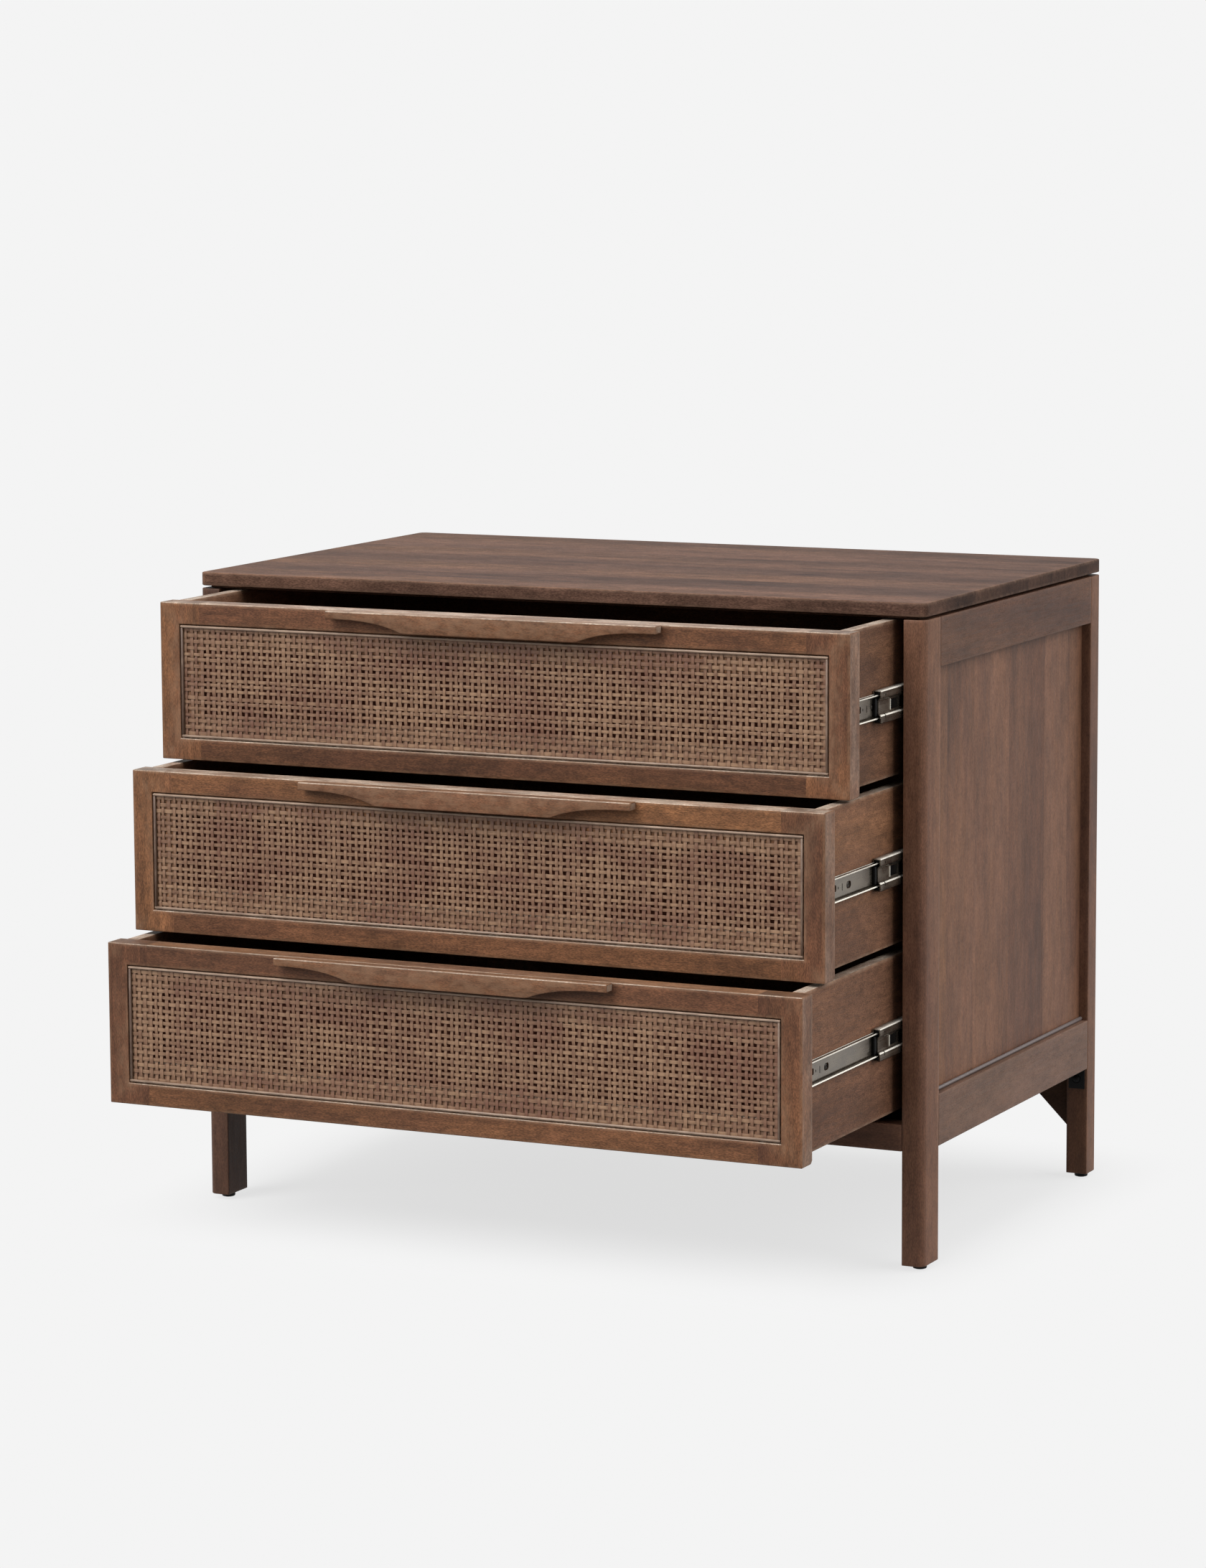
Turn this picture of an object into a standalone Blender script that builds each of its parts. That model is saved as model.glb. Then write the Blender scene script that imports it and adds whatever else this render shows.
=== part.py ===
"""Nightstand with three cane-fronted drawers on full-extension slides.

Units are metres, +Z is up and the drawers face -Y. Places are first worked out in case
coordinates: x = 0 on the middle of the case, y = 0 on the front of the legs, z = 0 on the floor.
One empty then carries everything, so that the middle of the whole object stands over the origin.
The drawers are modelled standing open, as a display piece is shown.
"""
import math

import bmesh
import bpy
from mathutils import Matrix, Vector

for old_object in list(bpy.data.objects):
    bpy.data.objects.remove(old_object, do_unlink=True)

# Whole case
case_width = 0.914
case_depth = 0.559
case_height = 0.749
fit_gap = 0.0003
arc_steps = 6

# Top board, with a shadow line between it and the case
top_thickness = 0.0155
shadow_height = 0.003
shadow_setback = 0.010

# Legs and their glides
leg_width = 0.026
front_leg_depth = 0.045
back_leg_depth = 0.034
corner_radius = 0.009
foot_height = 0.006
foot_diameter = 0.016
foot_sides = 24

# Rails, panels and braces of the case
rail_clearance = 0.136
side_top_rail_height = 0.0555
side_bottom_rail_height = 0.059
side_panel_thickness = 0.015
front_rail_height = 0.030
front_rail_thickness = 0.024
back_rail_height = 0.059
back_rail_thickness = 0.020
back_panel_thickness = 0.006
back_panel_inset = 0.008
brace_reach = 0.079
brace_thickness = 0.016

# Drawer fronts: a frame with a rebate for the cane and a window behind it
front_thickness = 0.028
front_side_gap = 0.004
front_row_gap = 0.0045
front_top_gap = 0.0015
top_front_drop = 0.004
cane_border = 0.0245
cane_ledge = 0.0255
cane_rebate_depth = 0.005
cane_recess = 0.002
cane_backer_thickness = 0.006

# Pulls: a lip along the top of each front, deeper in the middle, scooped at both ends
pull_length = 0.410
pull_projection = 0.015
pull_end_height = 0.009
pull_grip_height = 0.022
pull_grip_length = 0.216
pull_scoop_steps = 12
finger_groove_width = 0.008
finger_groove_roof = 0.0095

# Drawer boxes
box_side_thickness = 0.015
box_back_thickness = 0.012
box_bottom_thickness = 0.006
box_bottom_lift = 0.010
box_side_lift = 0.008
box_back_clearance = 0.006

# Three-part ball-bearing slides
slide_space = 0.013
slide_drop = 0.089
slide_end_margin = 0.0025
slide_sheet = 0.0012
slide_running_gap = 0.00035
slide_ball_race = 0.0042
slide_drawer_height = 0.0275
slide_lip_depth = 0.007
slide_nest_step = 0.0024

# How far the drawers and the intermediate slide members stand open
top_drawer_opening = 0.1415
middle_drawer_opening = 0.209
bottom_drawer_opening = 0.270
slide_opening = 0.112

# Levels and planes worked out from the sizes above
case_top = case_height - top_thickness - shadow_height
half_case = case_width / 2
half_opening = half_case - leg_width
half_front = half_opening - front_side_gap
half_box = half_opening - slide_space
fronts_low = rail_clearance + front_rail_height + front_row_gap
fronts_high = case_top - front_top_gap
front_height = (fronts_high - fronts_low - 2 * front_row_gap + top_front_drop) / 3
middle_front_low = fronts_low + front_height + front_row_gap
top_front_low = middle_front_low + front_height + front_row_gap
drawers = (
    (top_drawer_opening, (top_front_low, fronts_high)),
    (middle_drawer_opening, (middle_front_low, middle_front_low + front_height)),
    (bottom_drawer_opening, (fronts_low, fronts_low + front_height)),
)
back_reach = max(back_rail_thickness, back_panel_inset + back_panel_thickness)
box_length = case_depth - back_reach - box_back_clearance - front_thickness
slide_length = box_length - 2 * slide_end_margin
foremost = -(max(opening for opening, level in drawers) + pull_projection)
middle_of_depth = (foremost + case_depth) / 2

# Collections, finishes and carriers
parts = bpy.data.collections.new("nightstand")
cutters = bpy.data.collections.new("nightstand_cutters")
for collection in (parts, cutters):
    bpy.context.scene.collection.children.link(collection)


def make_finish(name, colour, roughness, metallic=0.0):
    """A plain Principled finish with the colour that the piece shows."""
    finish = bpy.data.materials.new(name)
    finish.use_nodes = True
    shader = finish.node_tree.nodes["Principled BSDF"]
    shader.inputs["Base Color"].default_value = (*colour, 1.0)
    shader.inputs["Roughness"].default_value = roughness
    shader.inputs["Metallic"].default_value = metallic
    finish.diffuse_color = (*colour, 1.0)
    return finish


top_wood = make_finish("top_wood", (0.200, 0.123, 0.092), 0.52)
case_wood = make_finish("case_wood", (0.165, 0.095, 0.069), 0.56)
front_wood = make_finish("front_wood", (0.205, 0.105, 0.058), 0.54)
box_wood = make_finish("box_wood", (0.150, 0.085, 0.060), 0.62)
panel_wood = make_finish("panel_wood", (0.110, 0.066, 0.048), 0.68)
cane = make_finish("cane", (0.350, 0.205, 0.105), 0.60)
zinc = make_finish("zinc", (0.560, 0.560, 0.545), 0.34, 1.0)
black_glide = make_finish("black_glide", (0.012, 0.012, 0.012), 0.50)

anchors = {}


def attach(item, place, carrier):
    """Put an item at a place in case coordinates and let the carrier hold it."""
    item.parent = carrier
    item.location = Vector(place) - anchors[carrier.name]


def add_carrier(name, place, carrier):
    """An empty on a joint axis, which holds the pieces that move together."""
    empty = bpy.data.objects.new(name, None)
    parts.objects.link(empty)
    attach(empty, place, carrier)
    anchors[name] = Vector(place)
    return empty


stand = bpy.data.objects.new("stand", None)
stand.location = (0.0, -middle_of_depth, 0.0)
parts.objects.link(stand)
anchors["stand"] = Vector((0.0, 0.0, 0.0))


def add_mesh(name, mesh, place, finish, carrier, collection=parts):
    """Make a mesh a named piece with its finish, its place and its carrier."""
    piece = bpy.data.objects.new(name, mesh)
    collection.objects.link(piece)
    if finish is not None:
        mesh.materials.append(finish)
    attach(piece, place, carrier)
    return piece


def add_box(name, low, high, finish, carrier, collection=parts):
    """A board between two opposite corners."""
    size = Vector(high) - Vector(low)
    shape = bmesh.new()
    bmesh.ops.create_cube(shape, size=1.0)
    bmesh.ops.scale(shape, vec=size, verts=shape.verts)
    mesh = bpy.data.meshes.new(name)
    shape.to_mesh(mesh)
    shape.free()
    place = (Vector(low) + Vector(high)) / 2
    return add_mesh(name, mesh, place, finish, carrier, collection)


def add_prism(name, outline, thickness, turn, place, finish, carrier):
    """A flat outline drawn on a 2D curve, extruded to a thickness, turned and made a mesh."""
    drawing = bpy.data.curves.new(name, "CURVE")
    drawing.dimensions = "2D"
    drawing.fill_mode = "BOTH"
    drawing.extrude = thickness / 2
    spline = drawing.splines.new("POLY")
    spline.points.add(len(outline) - 1)
    for point, (u, v) in zip(spline.points, outline):
        point.co = (u, v, 0.0, 1.0)
    spline.use_cyclic_u = True
    curve = bpy.data.objects.new(name + "_outline", drawing)
    bpy.context.scene.collection.objects.link(curve)
    graph = bpy.context.evaluated_depsgraph_get()
    mesh = bpy.data.meshes.new_from_object(curve.evaluated_get(graph))
    bpy.data.objects.remove(curve, do_unlink=True)
    shape = bmesh.new()
    shape.from_mesh(mesh)
    bmesh.ops.remove_doubles(shape, verts=shape.verts, dist=1e-6)
    bmesh.ops.rotate(shape, verts=shape.verts, cent=(0, 0, 0), matrix=turn)
    bmesh.ops.recalc_face_normals(shape, faces=shape.faces)
    shape.to_mesh(mesh)
    shape.free()
    mesh.name = name
    return add_mesh(name, mesh, place, finish, carrier)


def cut_or_join(piece, other, operation):
    """Cut another shape out of a piece, or join it on, and keep that shape as a hidden guide."""
    other.hide_render = True
    other.display_type = "WIRE"
    step = piece.modifiers.new(other.name, "BOOLEAN")
    step.operation = operation
    step.solver = "EXACT"
    step.object = other


flat = Matrix.Identity(3)
upright = Matrix.Rotation(math.pi / 2, 3, "X")


def corner_arc(centre, radius, start):
    """Points of a quarter circle that starts at an angle in degrees and runs anticlockwise."""
    angles = [math.radians(start + 90.0 * step / arc_steps) for step in range(arc_steps + 1)]
    return [(centre[0] + radius * math.cos(a), centre[1] + radius * math.sin(a)) for a in angles]


def rounded_plan(half_x, half_y, rounded):
    """A rectangle in plan whose named corners, counted anticlockwise from +x +y, are rounded."""
    signs = ((1, 1), (-1, 1), (-1, -1), (1, -1))
    outline = []
    for index, (sx, sy) in enumerate(signs):
        if index in rounded:
            centre = (sx * (half_x - corner_radius), sy * (half_y - corner_radius))
            outline += corner_arc(centre, corner_radius, 90.0 * index)
        else:
            outline.append((sx * half_x, sy * half_y))
    return outline


def build_top():
    """The top board and, under it, the set-back plate that leaves the shadow line."""
    plan = rounded_plan(half_case, case_depth / 2, rounded=(0, 1, 2, 3))
    middle = (0.0, case_depth / 2, case_height - top_thickness / 2)
    top = add_prism("top_panel", plan, top_thickness, flat, middle, top_wood, stand)
    low = (-half_case + shadow_setback, shadow_setback, case_top)
    high = (half_case - shadow_setback, case_depth - shadow_setback, case_height - top_thickness / 2)
    plate = add_box("top_plate", low, high, None, stand, cutters)
    cut_or_join(top, plate, "UNION")


def build_legs():
    """Four legs with a rounded outer corner, each on a round black glide."""
    leg_height = case_top - fit_gap - foot_height - fit_gap
    middle_z = foot_height + fit_gap + leg_height / 2
    rows = (("front", front_leg_depth, front_leg_depth / 2),
            ("back", back_leg_depth, case_depth - back_leg_depth / 2))
    outer_corner = {("front", "left"): 2, ("front", "right"): 3, ("back", "left"): 1, ("back", "right"): 0}
    for row, depth, middle_y in rows:
        for side, sign in (("left", -1), ("right", 1)):
            middle_x = sign * (half_case - leg_width / 2)
            plan = rounded_plan(leg_width / 2, depth / 2, rounded=(outer_corner[row, side],))
            place = (middle_x, middle_y, middle_z)
            add_prism(f"leg_{row}_{side}", plan, leg_height, flat, place, case_wood, stand)
            shape = bmesh.new()
            bmesh.ops.create_cone(shape, cap_ends=True, segments=foot_sides, radius1=foot_diameter / 2,
                                  radius2=foot_diameter / 2, depth=foot_height)
            mesh = bpy.data.meshes.new(f"foot_{row}_{side}")
            shape.to_mesh(mesh)
            shape.free()
            add_mesh(mesh.name, mesh, (middle_x, middle_y, foot_height / 2), black_glide, stand)


def build_case_sides():
    """Top rail, bottom rail and recessed panel between the legs of each side."""
    front_y = front_leg_depth + fit_gap
    back_y = case_depth - back_leg_depth - fit_gap
    bottom_rail_top = rail_clearance + side_bottom_rail_height
    top_rail_low = case_top - side_top_rail_height
    levels = (("side_top_rail", leg_width, top_rail_low, case_top - fit_gap),
              ("side_panel", side_panel_thickness, bottom_rail_top + fit_gap, top_rail_low - fit_gap),
              ("side_bottom_rail", leg_width, rail_clearance, bottom_rail_top))
    for side, sign in (("left", -1), ("right", 1)):
        inner = sign * half_opening
        for name, thickness, low_z, high_z in levels:
            outer = inner + sign * thickness
            low = (min(inner, outer), front_y, low_z)
            high = (max(inner, outer), back_y, high_z)
            add_box(f"{name}_{side}", low, high, case_wood, stand)


def build_case_ends():
    """Front rail, back rail with its corner braces, and the thin back panel."""
    reach = half_opening - fit_gap
    front_rail_top = rail_clearance + front_rail_height
    add_box("front_rail", (-reach, 0.0, rail_clearance), (reach, front_rail_thickness, front_rail_top),
            case_wood, stand)
    back_rail_front = case_depth - back_rail_thickness
    back_rail_top = rail_clearance + back_rail_height
    add_box("back_rail", (-reach, back_rail_front, rail_clearance), (reach, case_depth, back_rail_top),
            case_wood, stand)
    panel_back = case_depth - back_panel_inset
    add_box("back_panel", (-reach, panel_back - back_panel_thickness, back_rail_top + fit_gap),
            (reach, panel_back, case_top - fit_gap), panel_wood, stand)
    brace_y = case_depth - back_rail_thickness / 2
    for side, sign in (("left", -1), ("right", 1)):
        triangle = [(0.0, 0.0), (-sign * brace_reach, 0.0), (0.0, -brace_reach)]
        place = (sign * reach, brace_y, rail_clearance - fit_gap)
        add_prism(f"corner_brace_{side}", triangle, brace_thickness, upright, place, panel_wood, stand)


def pull_outline():
    """Front view of a pull from its top middle: a level top, and scoops that flatten towards the tips."""
    half_grip = pull_grip_length / 2
    scoop_length = pull_length / 2 - half_grip
    rise = pull_grip_height - pull_end_height
    scoop = []
    for step in range(pull_scoop_steps + 1):
        share = step / pull_scoop_steps
        ease = 1.0 - (1.0 - share) ** 3
        scoop.append((half_grip + share * scoop_length, -pull_grip_height + ease * rise))
    right = scoop + [(pull_length / 2, 0.0)]
    left = [(-x, z) for x, z in reversed(right)]
    return left + right


def build_front(number, opening, level, carrier):
    """Frame, cane on its backer, and pull of one drawer."""
    low_z, high_z = level
    face = -opening
    back = face + front_thickness
    front = add_box(f"drawer_{number}_front", (-half_front, face, low_z), (half_front, back, high_z),
                    front_wood, carrier)

    def inside(border, near, far, gap=0.0):
        """Corners of a box that leaves a border inside the front's outline."""
        reach = half_front - border - gap
        return (-reach, near, low_z + border + gap), (reach, far, high_z - border - gap)

    ledge_border = cane_border + cane_ledge
    ledge = face + cane_rebate_depth
    overshoot = front_thickness / 4
    cuts = (("rebate", inside(cane_border, face - overshoot, ledge)),
            ("window", inside(ledge_border, ledge - overshoot, back + overshoot)))
    for label, corners in cuts:
        cutter = add_box(f"drawer_{number}_{label}", *corners, None, carrier, cutters)
        cut_or_join(front, cutter, "DIFFERENCE")

    cane_front = face + cane_recess
    cane_back = ledge - fit_gap
    corners = inside(cane_border, cane_front, cane_back, fit_gap)
    panel = add_box(f"drawer_{number}_cane", *corners, cane, carrier)
    cane_middle = (cane_front + cane_back) / 2
    corners = inside(ledge_border, cane_middle, ledge + cane_backer_thickness, fit_gap)
    backer = add_box(f"drawer_{number}_backer", *corners, None, carrier, cutters)
    cut_or_join(panel, backer, "UNION")

    pull_thickness = pull_projection - fit_gap
    place = (0.0, face - fit_gap - pull_thickness / 2, high_z)
    pull = add_prism(f"drawer_{number}_pull", pull_outline(), pull_thickness, upright, place, front_wood,
                     carrier)
    groove_low = (-pull_length, face - finger_groove_width, high_z - 2 * pull_grip_height)
    groove_high = (pull_length, face + overshoot, high_z - finger_groove_roof)
    groove = add_box(f"drawer_{number}_finger_groove", groove_low, groove_high, None, carrier, cutters)
    cut_or_join(pull, groove, "DIFFERENCE")


def build_box(number, opening, level, carrier):
    """Sides, back and bottom of one drawer box, behind its front."""
    low_z = level[0] + box_side_lift
    high_z = level[1]
    start = front_thickness - opening + fit_gap
    end = start + box_length
    inner = half_box - box_side_thickness
    for side, sign in (("left", -1), ("right", 1)):
        near, far = sorted((sign * inner, sign * half_box))
        add_box(f"drawer_{number}_side_{side}", (near, start, low_z), (far, end, high_z), box_wood, carrier)
    reach = inner - fit_gap
    back_front = end - box_back_thickness
    add_box(f"drawer_{number}_back", (-reach, back_front, low_z), (reach, end, high_z), box_wood, carrier)
    bottom_low = low_z + box_bottom_lift
    add_box(f"drawer_{number}_bottom", (-reach, start, bottom_low),
            (reach, back_front - fit_gap, bottom_low + box_bottom_thickness), panel_wood, carrier)


def channel_outline(height, near, far, flange):
    """Section of a slide member: a web at the near face and two flanges that reach to the far face."""
    web = near + math.copysign(slide_sheet, far - near)
    half = height / 2
    return [(near, -half), (far, -half), (far, flange - half), (web, flange - half),
            (web, half - flange), (far, half - flange), (far, half), (near, half)]


slide_middle_height = slide_drawer_height + 2 * (slide_running_gap + slide_ball_race)
slide_case_height = slide_middle_height + 2 * (slide_running_gap + slide_ball_race)


def build_slide(number, side, sign, opening, level, carriers):
    """Case, intermediate and drawer members of one slide, measured out from the case side."""
    middle_z = level[1] - slide_drop
    closed_middle = front_thickness + slide_end_margin + slide_length / 2
    members = (
        ("case", slide_case_height, fit_gap, slide_space - slide_nest_step, slide_ball_race, 0.0),
        ("intermediate", slide_middle_height, slide_nest_step, slide_space - slide_sheet, slide_ball_race,
         slide_opening),
        ("drawer", slide_drawer_height, slide_space - fit_gap, slide_space - slide_lip_depth, slide_sheet,
         opening),
    )
    for label, height, near, far, flange, reach in members:
        section = [(-sign * u, v) for u, v in channel_outline(height, near, far, flange)]
        place = (sign * half_opening, closed_middle - reach, middle_z)
        add_prism(f"slide_{number}_{side}_{label}", section, slide_length, upright, place, zinc,
                  carriers[label])


def build_drawer(number, opening, level):
    """One drawer on its two slides, with an empty on each sliding axis."""
    axis_z = level[1] - slide_drop
    slide_start = front_thickness + slide_end_margin
    middle_axis = add_carrier(f"slide_{number}_axis", (0.0, slide_start - slide_opening, axis_z), stand)
    drawer_axis = add_carrier(f"drawer_{number}_axis", (0.0, slide_start - opening, axis_z), middle_axis)
    build_front(number, opening, level, drawer_axis)
    build_box(number, opening, level, drawer_axis)
    carriers = {"case": stand, "intermediate": middle_axis, "drawer": drawer_axis}
    for side, sign in (("left", -1), ("right", 1)):
        build_slide(number, side, sign, opening, level, carriers)


build_top()
build_legs()
build_case_sides()
build_case_ends()
for drawer_number, (drawer_opening, front_level) in enumerate(drawers, start=1):
    build_drawer(drawer_number, drawer_opening, front_level)
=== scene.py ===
# %% [markdown]
# # A bedside chest with cane drawer fronts
#
# The chest has a plain board case, three drawers that run on steel slides, and drawer fronts filled
# with woven cane. The solids of every piece are already made and fixed in one frame. This lesson
# gives those pieces their looks: eased edges, wood grain, a real weave, rolled steel and soft light.
# Each step first says what the piece is on the real chest and how it could be made.

# %% Load the frame
import math
import random

import bmesh
import bpy
from mathutils import Matrix, Vector


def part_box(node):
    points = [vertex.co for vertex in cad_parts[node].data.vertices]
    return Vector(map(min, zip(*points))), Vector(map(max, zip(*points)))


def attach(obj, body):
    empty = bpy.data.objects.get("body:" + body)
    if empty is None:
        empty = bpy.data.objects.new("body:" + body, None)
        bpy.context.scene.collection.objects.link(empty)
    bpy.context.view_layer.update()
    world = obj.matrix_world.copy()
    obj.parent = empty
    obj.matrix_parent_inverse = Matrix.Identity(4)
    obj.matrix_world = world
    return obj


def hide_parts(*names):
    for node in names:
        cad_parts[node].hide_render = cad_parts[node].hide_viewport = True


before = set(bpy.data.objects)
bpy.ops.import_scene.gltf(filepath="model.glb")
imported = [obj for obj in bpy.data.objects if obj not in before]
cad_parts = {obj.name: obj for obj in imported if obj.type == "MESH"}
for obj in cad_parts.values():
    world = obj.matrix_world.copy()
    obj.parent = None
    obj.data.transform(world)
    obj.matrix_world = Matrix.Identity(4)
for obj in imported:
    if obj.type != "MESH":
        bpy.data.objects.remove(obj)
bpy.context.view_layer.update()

scene = bpy.context.scene
scene.view_settings.view_transform = "Standard"
draw = random.Random(11)
mm = 0.001

# %% [markdown]
# ## The camera
#
# The picture was taken from the right and slightly above, with a long lens. Four numbers place such
# a camera: where it stands, how far it turns, how far it dips, and how long its lens is. They were
# found by matching corners of the chest, so the picture needs no shift and stays free of tricks.

# %% Camera
camera_place = Vector((2.4845, -5.1742, 1.3191))
camera_turn = math.radians(25.6538)
camera_dip = math.radians(8.0574)
camera_roll = math.radians(-0.3035)
picture_height = 2185
focal_pixels = 6950.4
sensor_width = 36.0
view_reach = 100.0

lens = bpy.data.cameras.new("camera")
lens.sensor_width = sensor_width
lens.lens = focal_pixels * sensor_width / picture_height
lens.clip_end = view_reach
camera = bpy.data.objects.new("camera", lens)
aim = Matrix.Rotation(camera_turn, 4, "Z")
aim = aim @ Matrix.Rotation(math.pi / 2 - camera_dip, 4, "X")
aim = aim @ Matrix.Rotation(camera_roll, 4, "Z")
camera.matrix_world = Matrix.Translation(camera_place) @ aim
scene.collection.objects.link(camera)
scene.camera = camera
print("lens:", round(lens.lens, 1), "mm")

# %% [markdown]
# ## Small helpers for shader nodes
#
# A node tree can be drawn in the editor or written down. Written down, it stays short with a few
# helpers: they add a node, fill its sockets, do sums, mix two colours, stretch a range and make
# noise. A socket takes a plain value or a link from another node, and `fill` tells them apart. Noise
# seldom reaches 0 or 1, so the middle of its range, its span, is what gets stretched.

# %% Node helpers
noise_span = (0.30, 0.70)
fibre_span = (0.25, 0.75)


def fill(tree, node, inputs):
    """Fill sockets of a node with plain values or with links from other nodes."""
    for label, value in inputs.items():
        if isinstance(value, bpy.types.NodeSocket):
            tree.links.new(value, node.inputs[label])
        else:
            node.inputs[label].default_value = value


def add_node(tree, kind, inputs=None, **settings):
    """Add a shader node, set its properties, then fill its sockets."""
    made = tree.nodes.new("ShaderNode" + kind)
    for label, value in settings.items():
        setattr(made, label, value)
    fill(tree, made, inputs or {})
    return made


def sums(tree, operation, first, second=0.0):
    """One step of arithmetic on two numbers or sockets."""
    return add_node(tree, "Math", {0: first, 1: second}, operation=operation).outputs[0]


def plus(tree, first, second):
    """The sum of two numbers or sockets."""
    return sums(tree, "ADD", first, second)


def minus(tree, first, second):
    """The difference of two numbers or sockets."""
    return sums(tree, "SUBTRACT", first, second)


def times(tree, first, second):
    """The product of two numbers or sockets."""
    return sums(tree, "MULTIPLY", first, second)


def vectors(tree, operation, *parts):
    """One step of arithmetic on vectors."""
    return add_node(tree, "VectorMath", dict(enumerate(parts)), operation=operation).outputs[0]


def mixed(tree, share, first, second, mode="MIX"):
    """Blend two colours by a share from 0 to 1."""
    inputs = {0: share, 6: first, 7: second}
    return add_node(tree, "Mix", inputs, data_type="RGBA", blend_type=mode).outputs[2]


def spread(tree, value, low, high, to_low=0.0, to_high=1.0):
    """Stretch the part of a value between two levels over a new range, with soft ends."""
    inputs = {"Value": value, "From Min": low, "From Max": high, "To Min": to_low, "To Max": to_high}
    return add_node(tree, "MapRange", inputs, interpolation_type="SMOOTHSTEP").outputs[0]


def cloud(tree, place, stretch, detail=3.0, roughness=0.55, output="Fac"):
    """Noise over a place, with so many ups and downs to the metre along each axis."""
    scaled = vectors(tree, "MULTIPLY", place, stretch)
    inputs = {"Vector": scaled, "Scale": 1.0, "Detail": detail, "Roughness": roughness}
    return add_node(tree, "TexNoise", inputs).outputs[output]


def own_place(tree):
    """The place on the piece itself, in metres."""
    return add_node(tree, "TexCoord").outputs["Object"]


def attribute(tree, label, output="Fac"):
    """A value that was written on the mesh."""
    return add_node(tree, "Attribute", attribute_name=label).outputs[output]


def axes(tree, vector):
    """The three numbers of a vector."""
    return add_node(tree, "SeparateXYZ", {0: vector}).outputs


def evenly(tree, level):
    """A grey with the same level in its three channels."""
    return add_node(tree, "CombineXYZ", {0: level, 1: level, 2: level}).outputs[0]


def bumps(tree, height, strength, distance):
    """The direction of a surface that a height pattern raises and sinks."""
    inputs = {"Height": height, "Strength": strength, "Distance": distance}
    return add_node(tree, "Bump", inputs).outputs["Normal"]


def colour(red, green, blue):
    """A colour named by its three 8-bit screen values, as the linear colour that a shader reads."""
    def linear(level):
        share = level / 255.0
        return share / 12.92 if share <= 0.04045 else ((share + 0.055) / 1.055) ** 2.4
    return (linear(red), linear(green), linear(blue), 1.0)


def new_finish(label):
    """An empty material with its Principled shader."""
    finish = bpy.data.materials.new(label)
    finish.use_nodes = True
    return finish, finish.node_tree, finish.node_tree.nodes["Principled BSDF"]


print("brown:", [round(level, 3) for level in colour(120, 86, 66)])

# %% [markdown]
# ## Floor, backdrop and light
#
# A shop picture stands on a pale sheet that runs up into a pale wall, under broad soft lights. Here
# the sky is one even colour, and three wide lamps give the chest its shape: one high in front, which
# draws the shadows, one from the left for the fronts and one for the right side. The sky shows its
# pale colour only to the camera and to shiny surfaces, so it is dimmer as a light. The floor itself is
# grey, which keeps the hollows of the chest dark, and a glow that lights nothing brings it up to the
# colour of the wall. The camera sees the shadow only near the chest, and it fades out on all sides.

# %% Floor, backdrop and light
backdrop_level = 0.904
sky_light = 0.34
floor_level = 0.15
shadow_share = 0.80
floor_reach = 60.0
floor_roughness = 0.9
shadow_across = (0.40, 0.57)
shadow_front = (-0.36, -0.06)
shadow_back = (0.36, 0.60)
lamps = (
    ("lamp_high_front", (-0.15, -0.60, 1.00), 2.16, 34.0),
    ("lamp_left", (-0.55, -0.85, 0.60), 1.74, 40.0),
    ("lamp_right", (1.00, 0.16, 0.72), 2.64, 62.0),
)
white = (1.0, 1.0, 1.0, 1.0)
pale = (backdrop_level, backdrop_level, backdrop_level, 1.0)
open_light = sky_light
for label, direction, strength, width in lamps:
    open_light += strength * Vector(direction).normalized().z / math.pi


def seen_directly(tree):
    """1 for what the camera, a reflection or glass sees, 0 for light that spreads."""
    path = add_node(tree, "LightPath").outputs
    shiny = sums(tree, "MAXIMUM", path["Is Glossy Ray"], path["Is Transmission Ray"])
    return sums(tree, "MAXIMUM", path["Is Camera Ray"], shiny)


studio = bpy.data.worlds.new("studio")
scene.world = studio
studio.use_nodes = True
studio_tree = studio.node_tree
studio_tree.nodes.clear()
sky = add_node(studio_tree, "Background", {"Color": white, "Strength": sky_light})
backdrop = add_node(studio_tree, "Background", {"Color": pale, "Strength": 1.0})
studio_mix = {0: seen_directly(studio_tree), 1: sky.outputs[0], 2: backdrop.outputs[0]}
studio_shown = add_node(studio_tree, "MixShader", studio_mix)
add_node(studio_tree, "OutputWorld", {"Surface": studio_shown.outputs[0]})

sheet, sheet_tree, sheet_shader = new_finish("pale_floor")
sheet_seen = seen_directly(sheet_tree)
sheet_axes = axes(sheet_tree, own_place(sheet_tree))
near = spread(sheet_tree, sums(sheet_tree, "ABSOLUTE", sheet_axes["X"]), *shadow_across, 1.0, 0.0)
near = times(sheet_tree, near, spread(sheet_tree, sheet_axes["Y"], *shadow_front))
near = times(sheet_tree, near, spread(sheet_tree, sheet_axes["Y"], *shadow_back, 1.0, 0.0))
away = times(sheet_tree, sheet_seen, minus(sheet_tree, 1.0, near))
grey = times(sheet_tree, minus(sheet_tree, 1.0, away), floor_level)
fill(sheet_tree, sheet_shader, {"Base Color": evenly(sheet_tree, grey), "Roughness": floor_roughness,
                                "Specular IOR Level": 0.0})
lit = times(sheet_tree, grey, shadow_share * open_light)
missing = minus(sheet_tree, backdrop_level, lit)
glow_strength = sums(sheet_tree, "DIVIDE", missing, 1.0 - shadow_share)
glow = add_node(sheet_tree, "Emission", {"Color": white, "Strength": glow_strength})
glow_share = times(sheet_tree, sheet_seen, 1.0 - shadow_share)
sheet_mix = {0: glow_share, 1: sheet_shader.outputs[0], 2: glow.outputs[0]}
sheet_shown = add_node(sheet_tree, "MixShader", sheet_mix)
fill(sheet_tree, sheet_tree.nodes["Material Output"], {"Surface": sheet_shown.outputs[0]})

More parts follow.
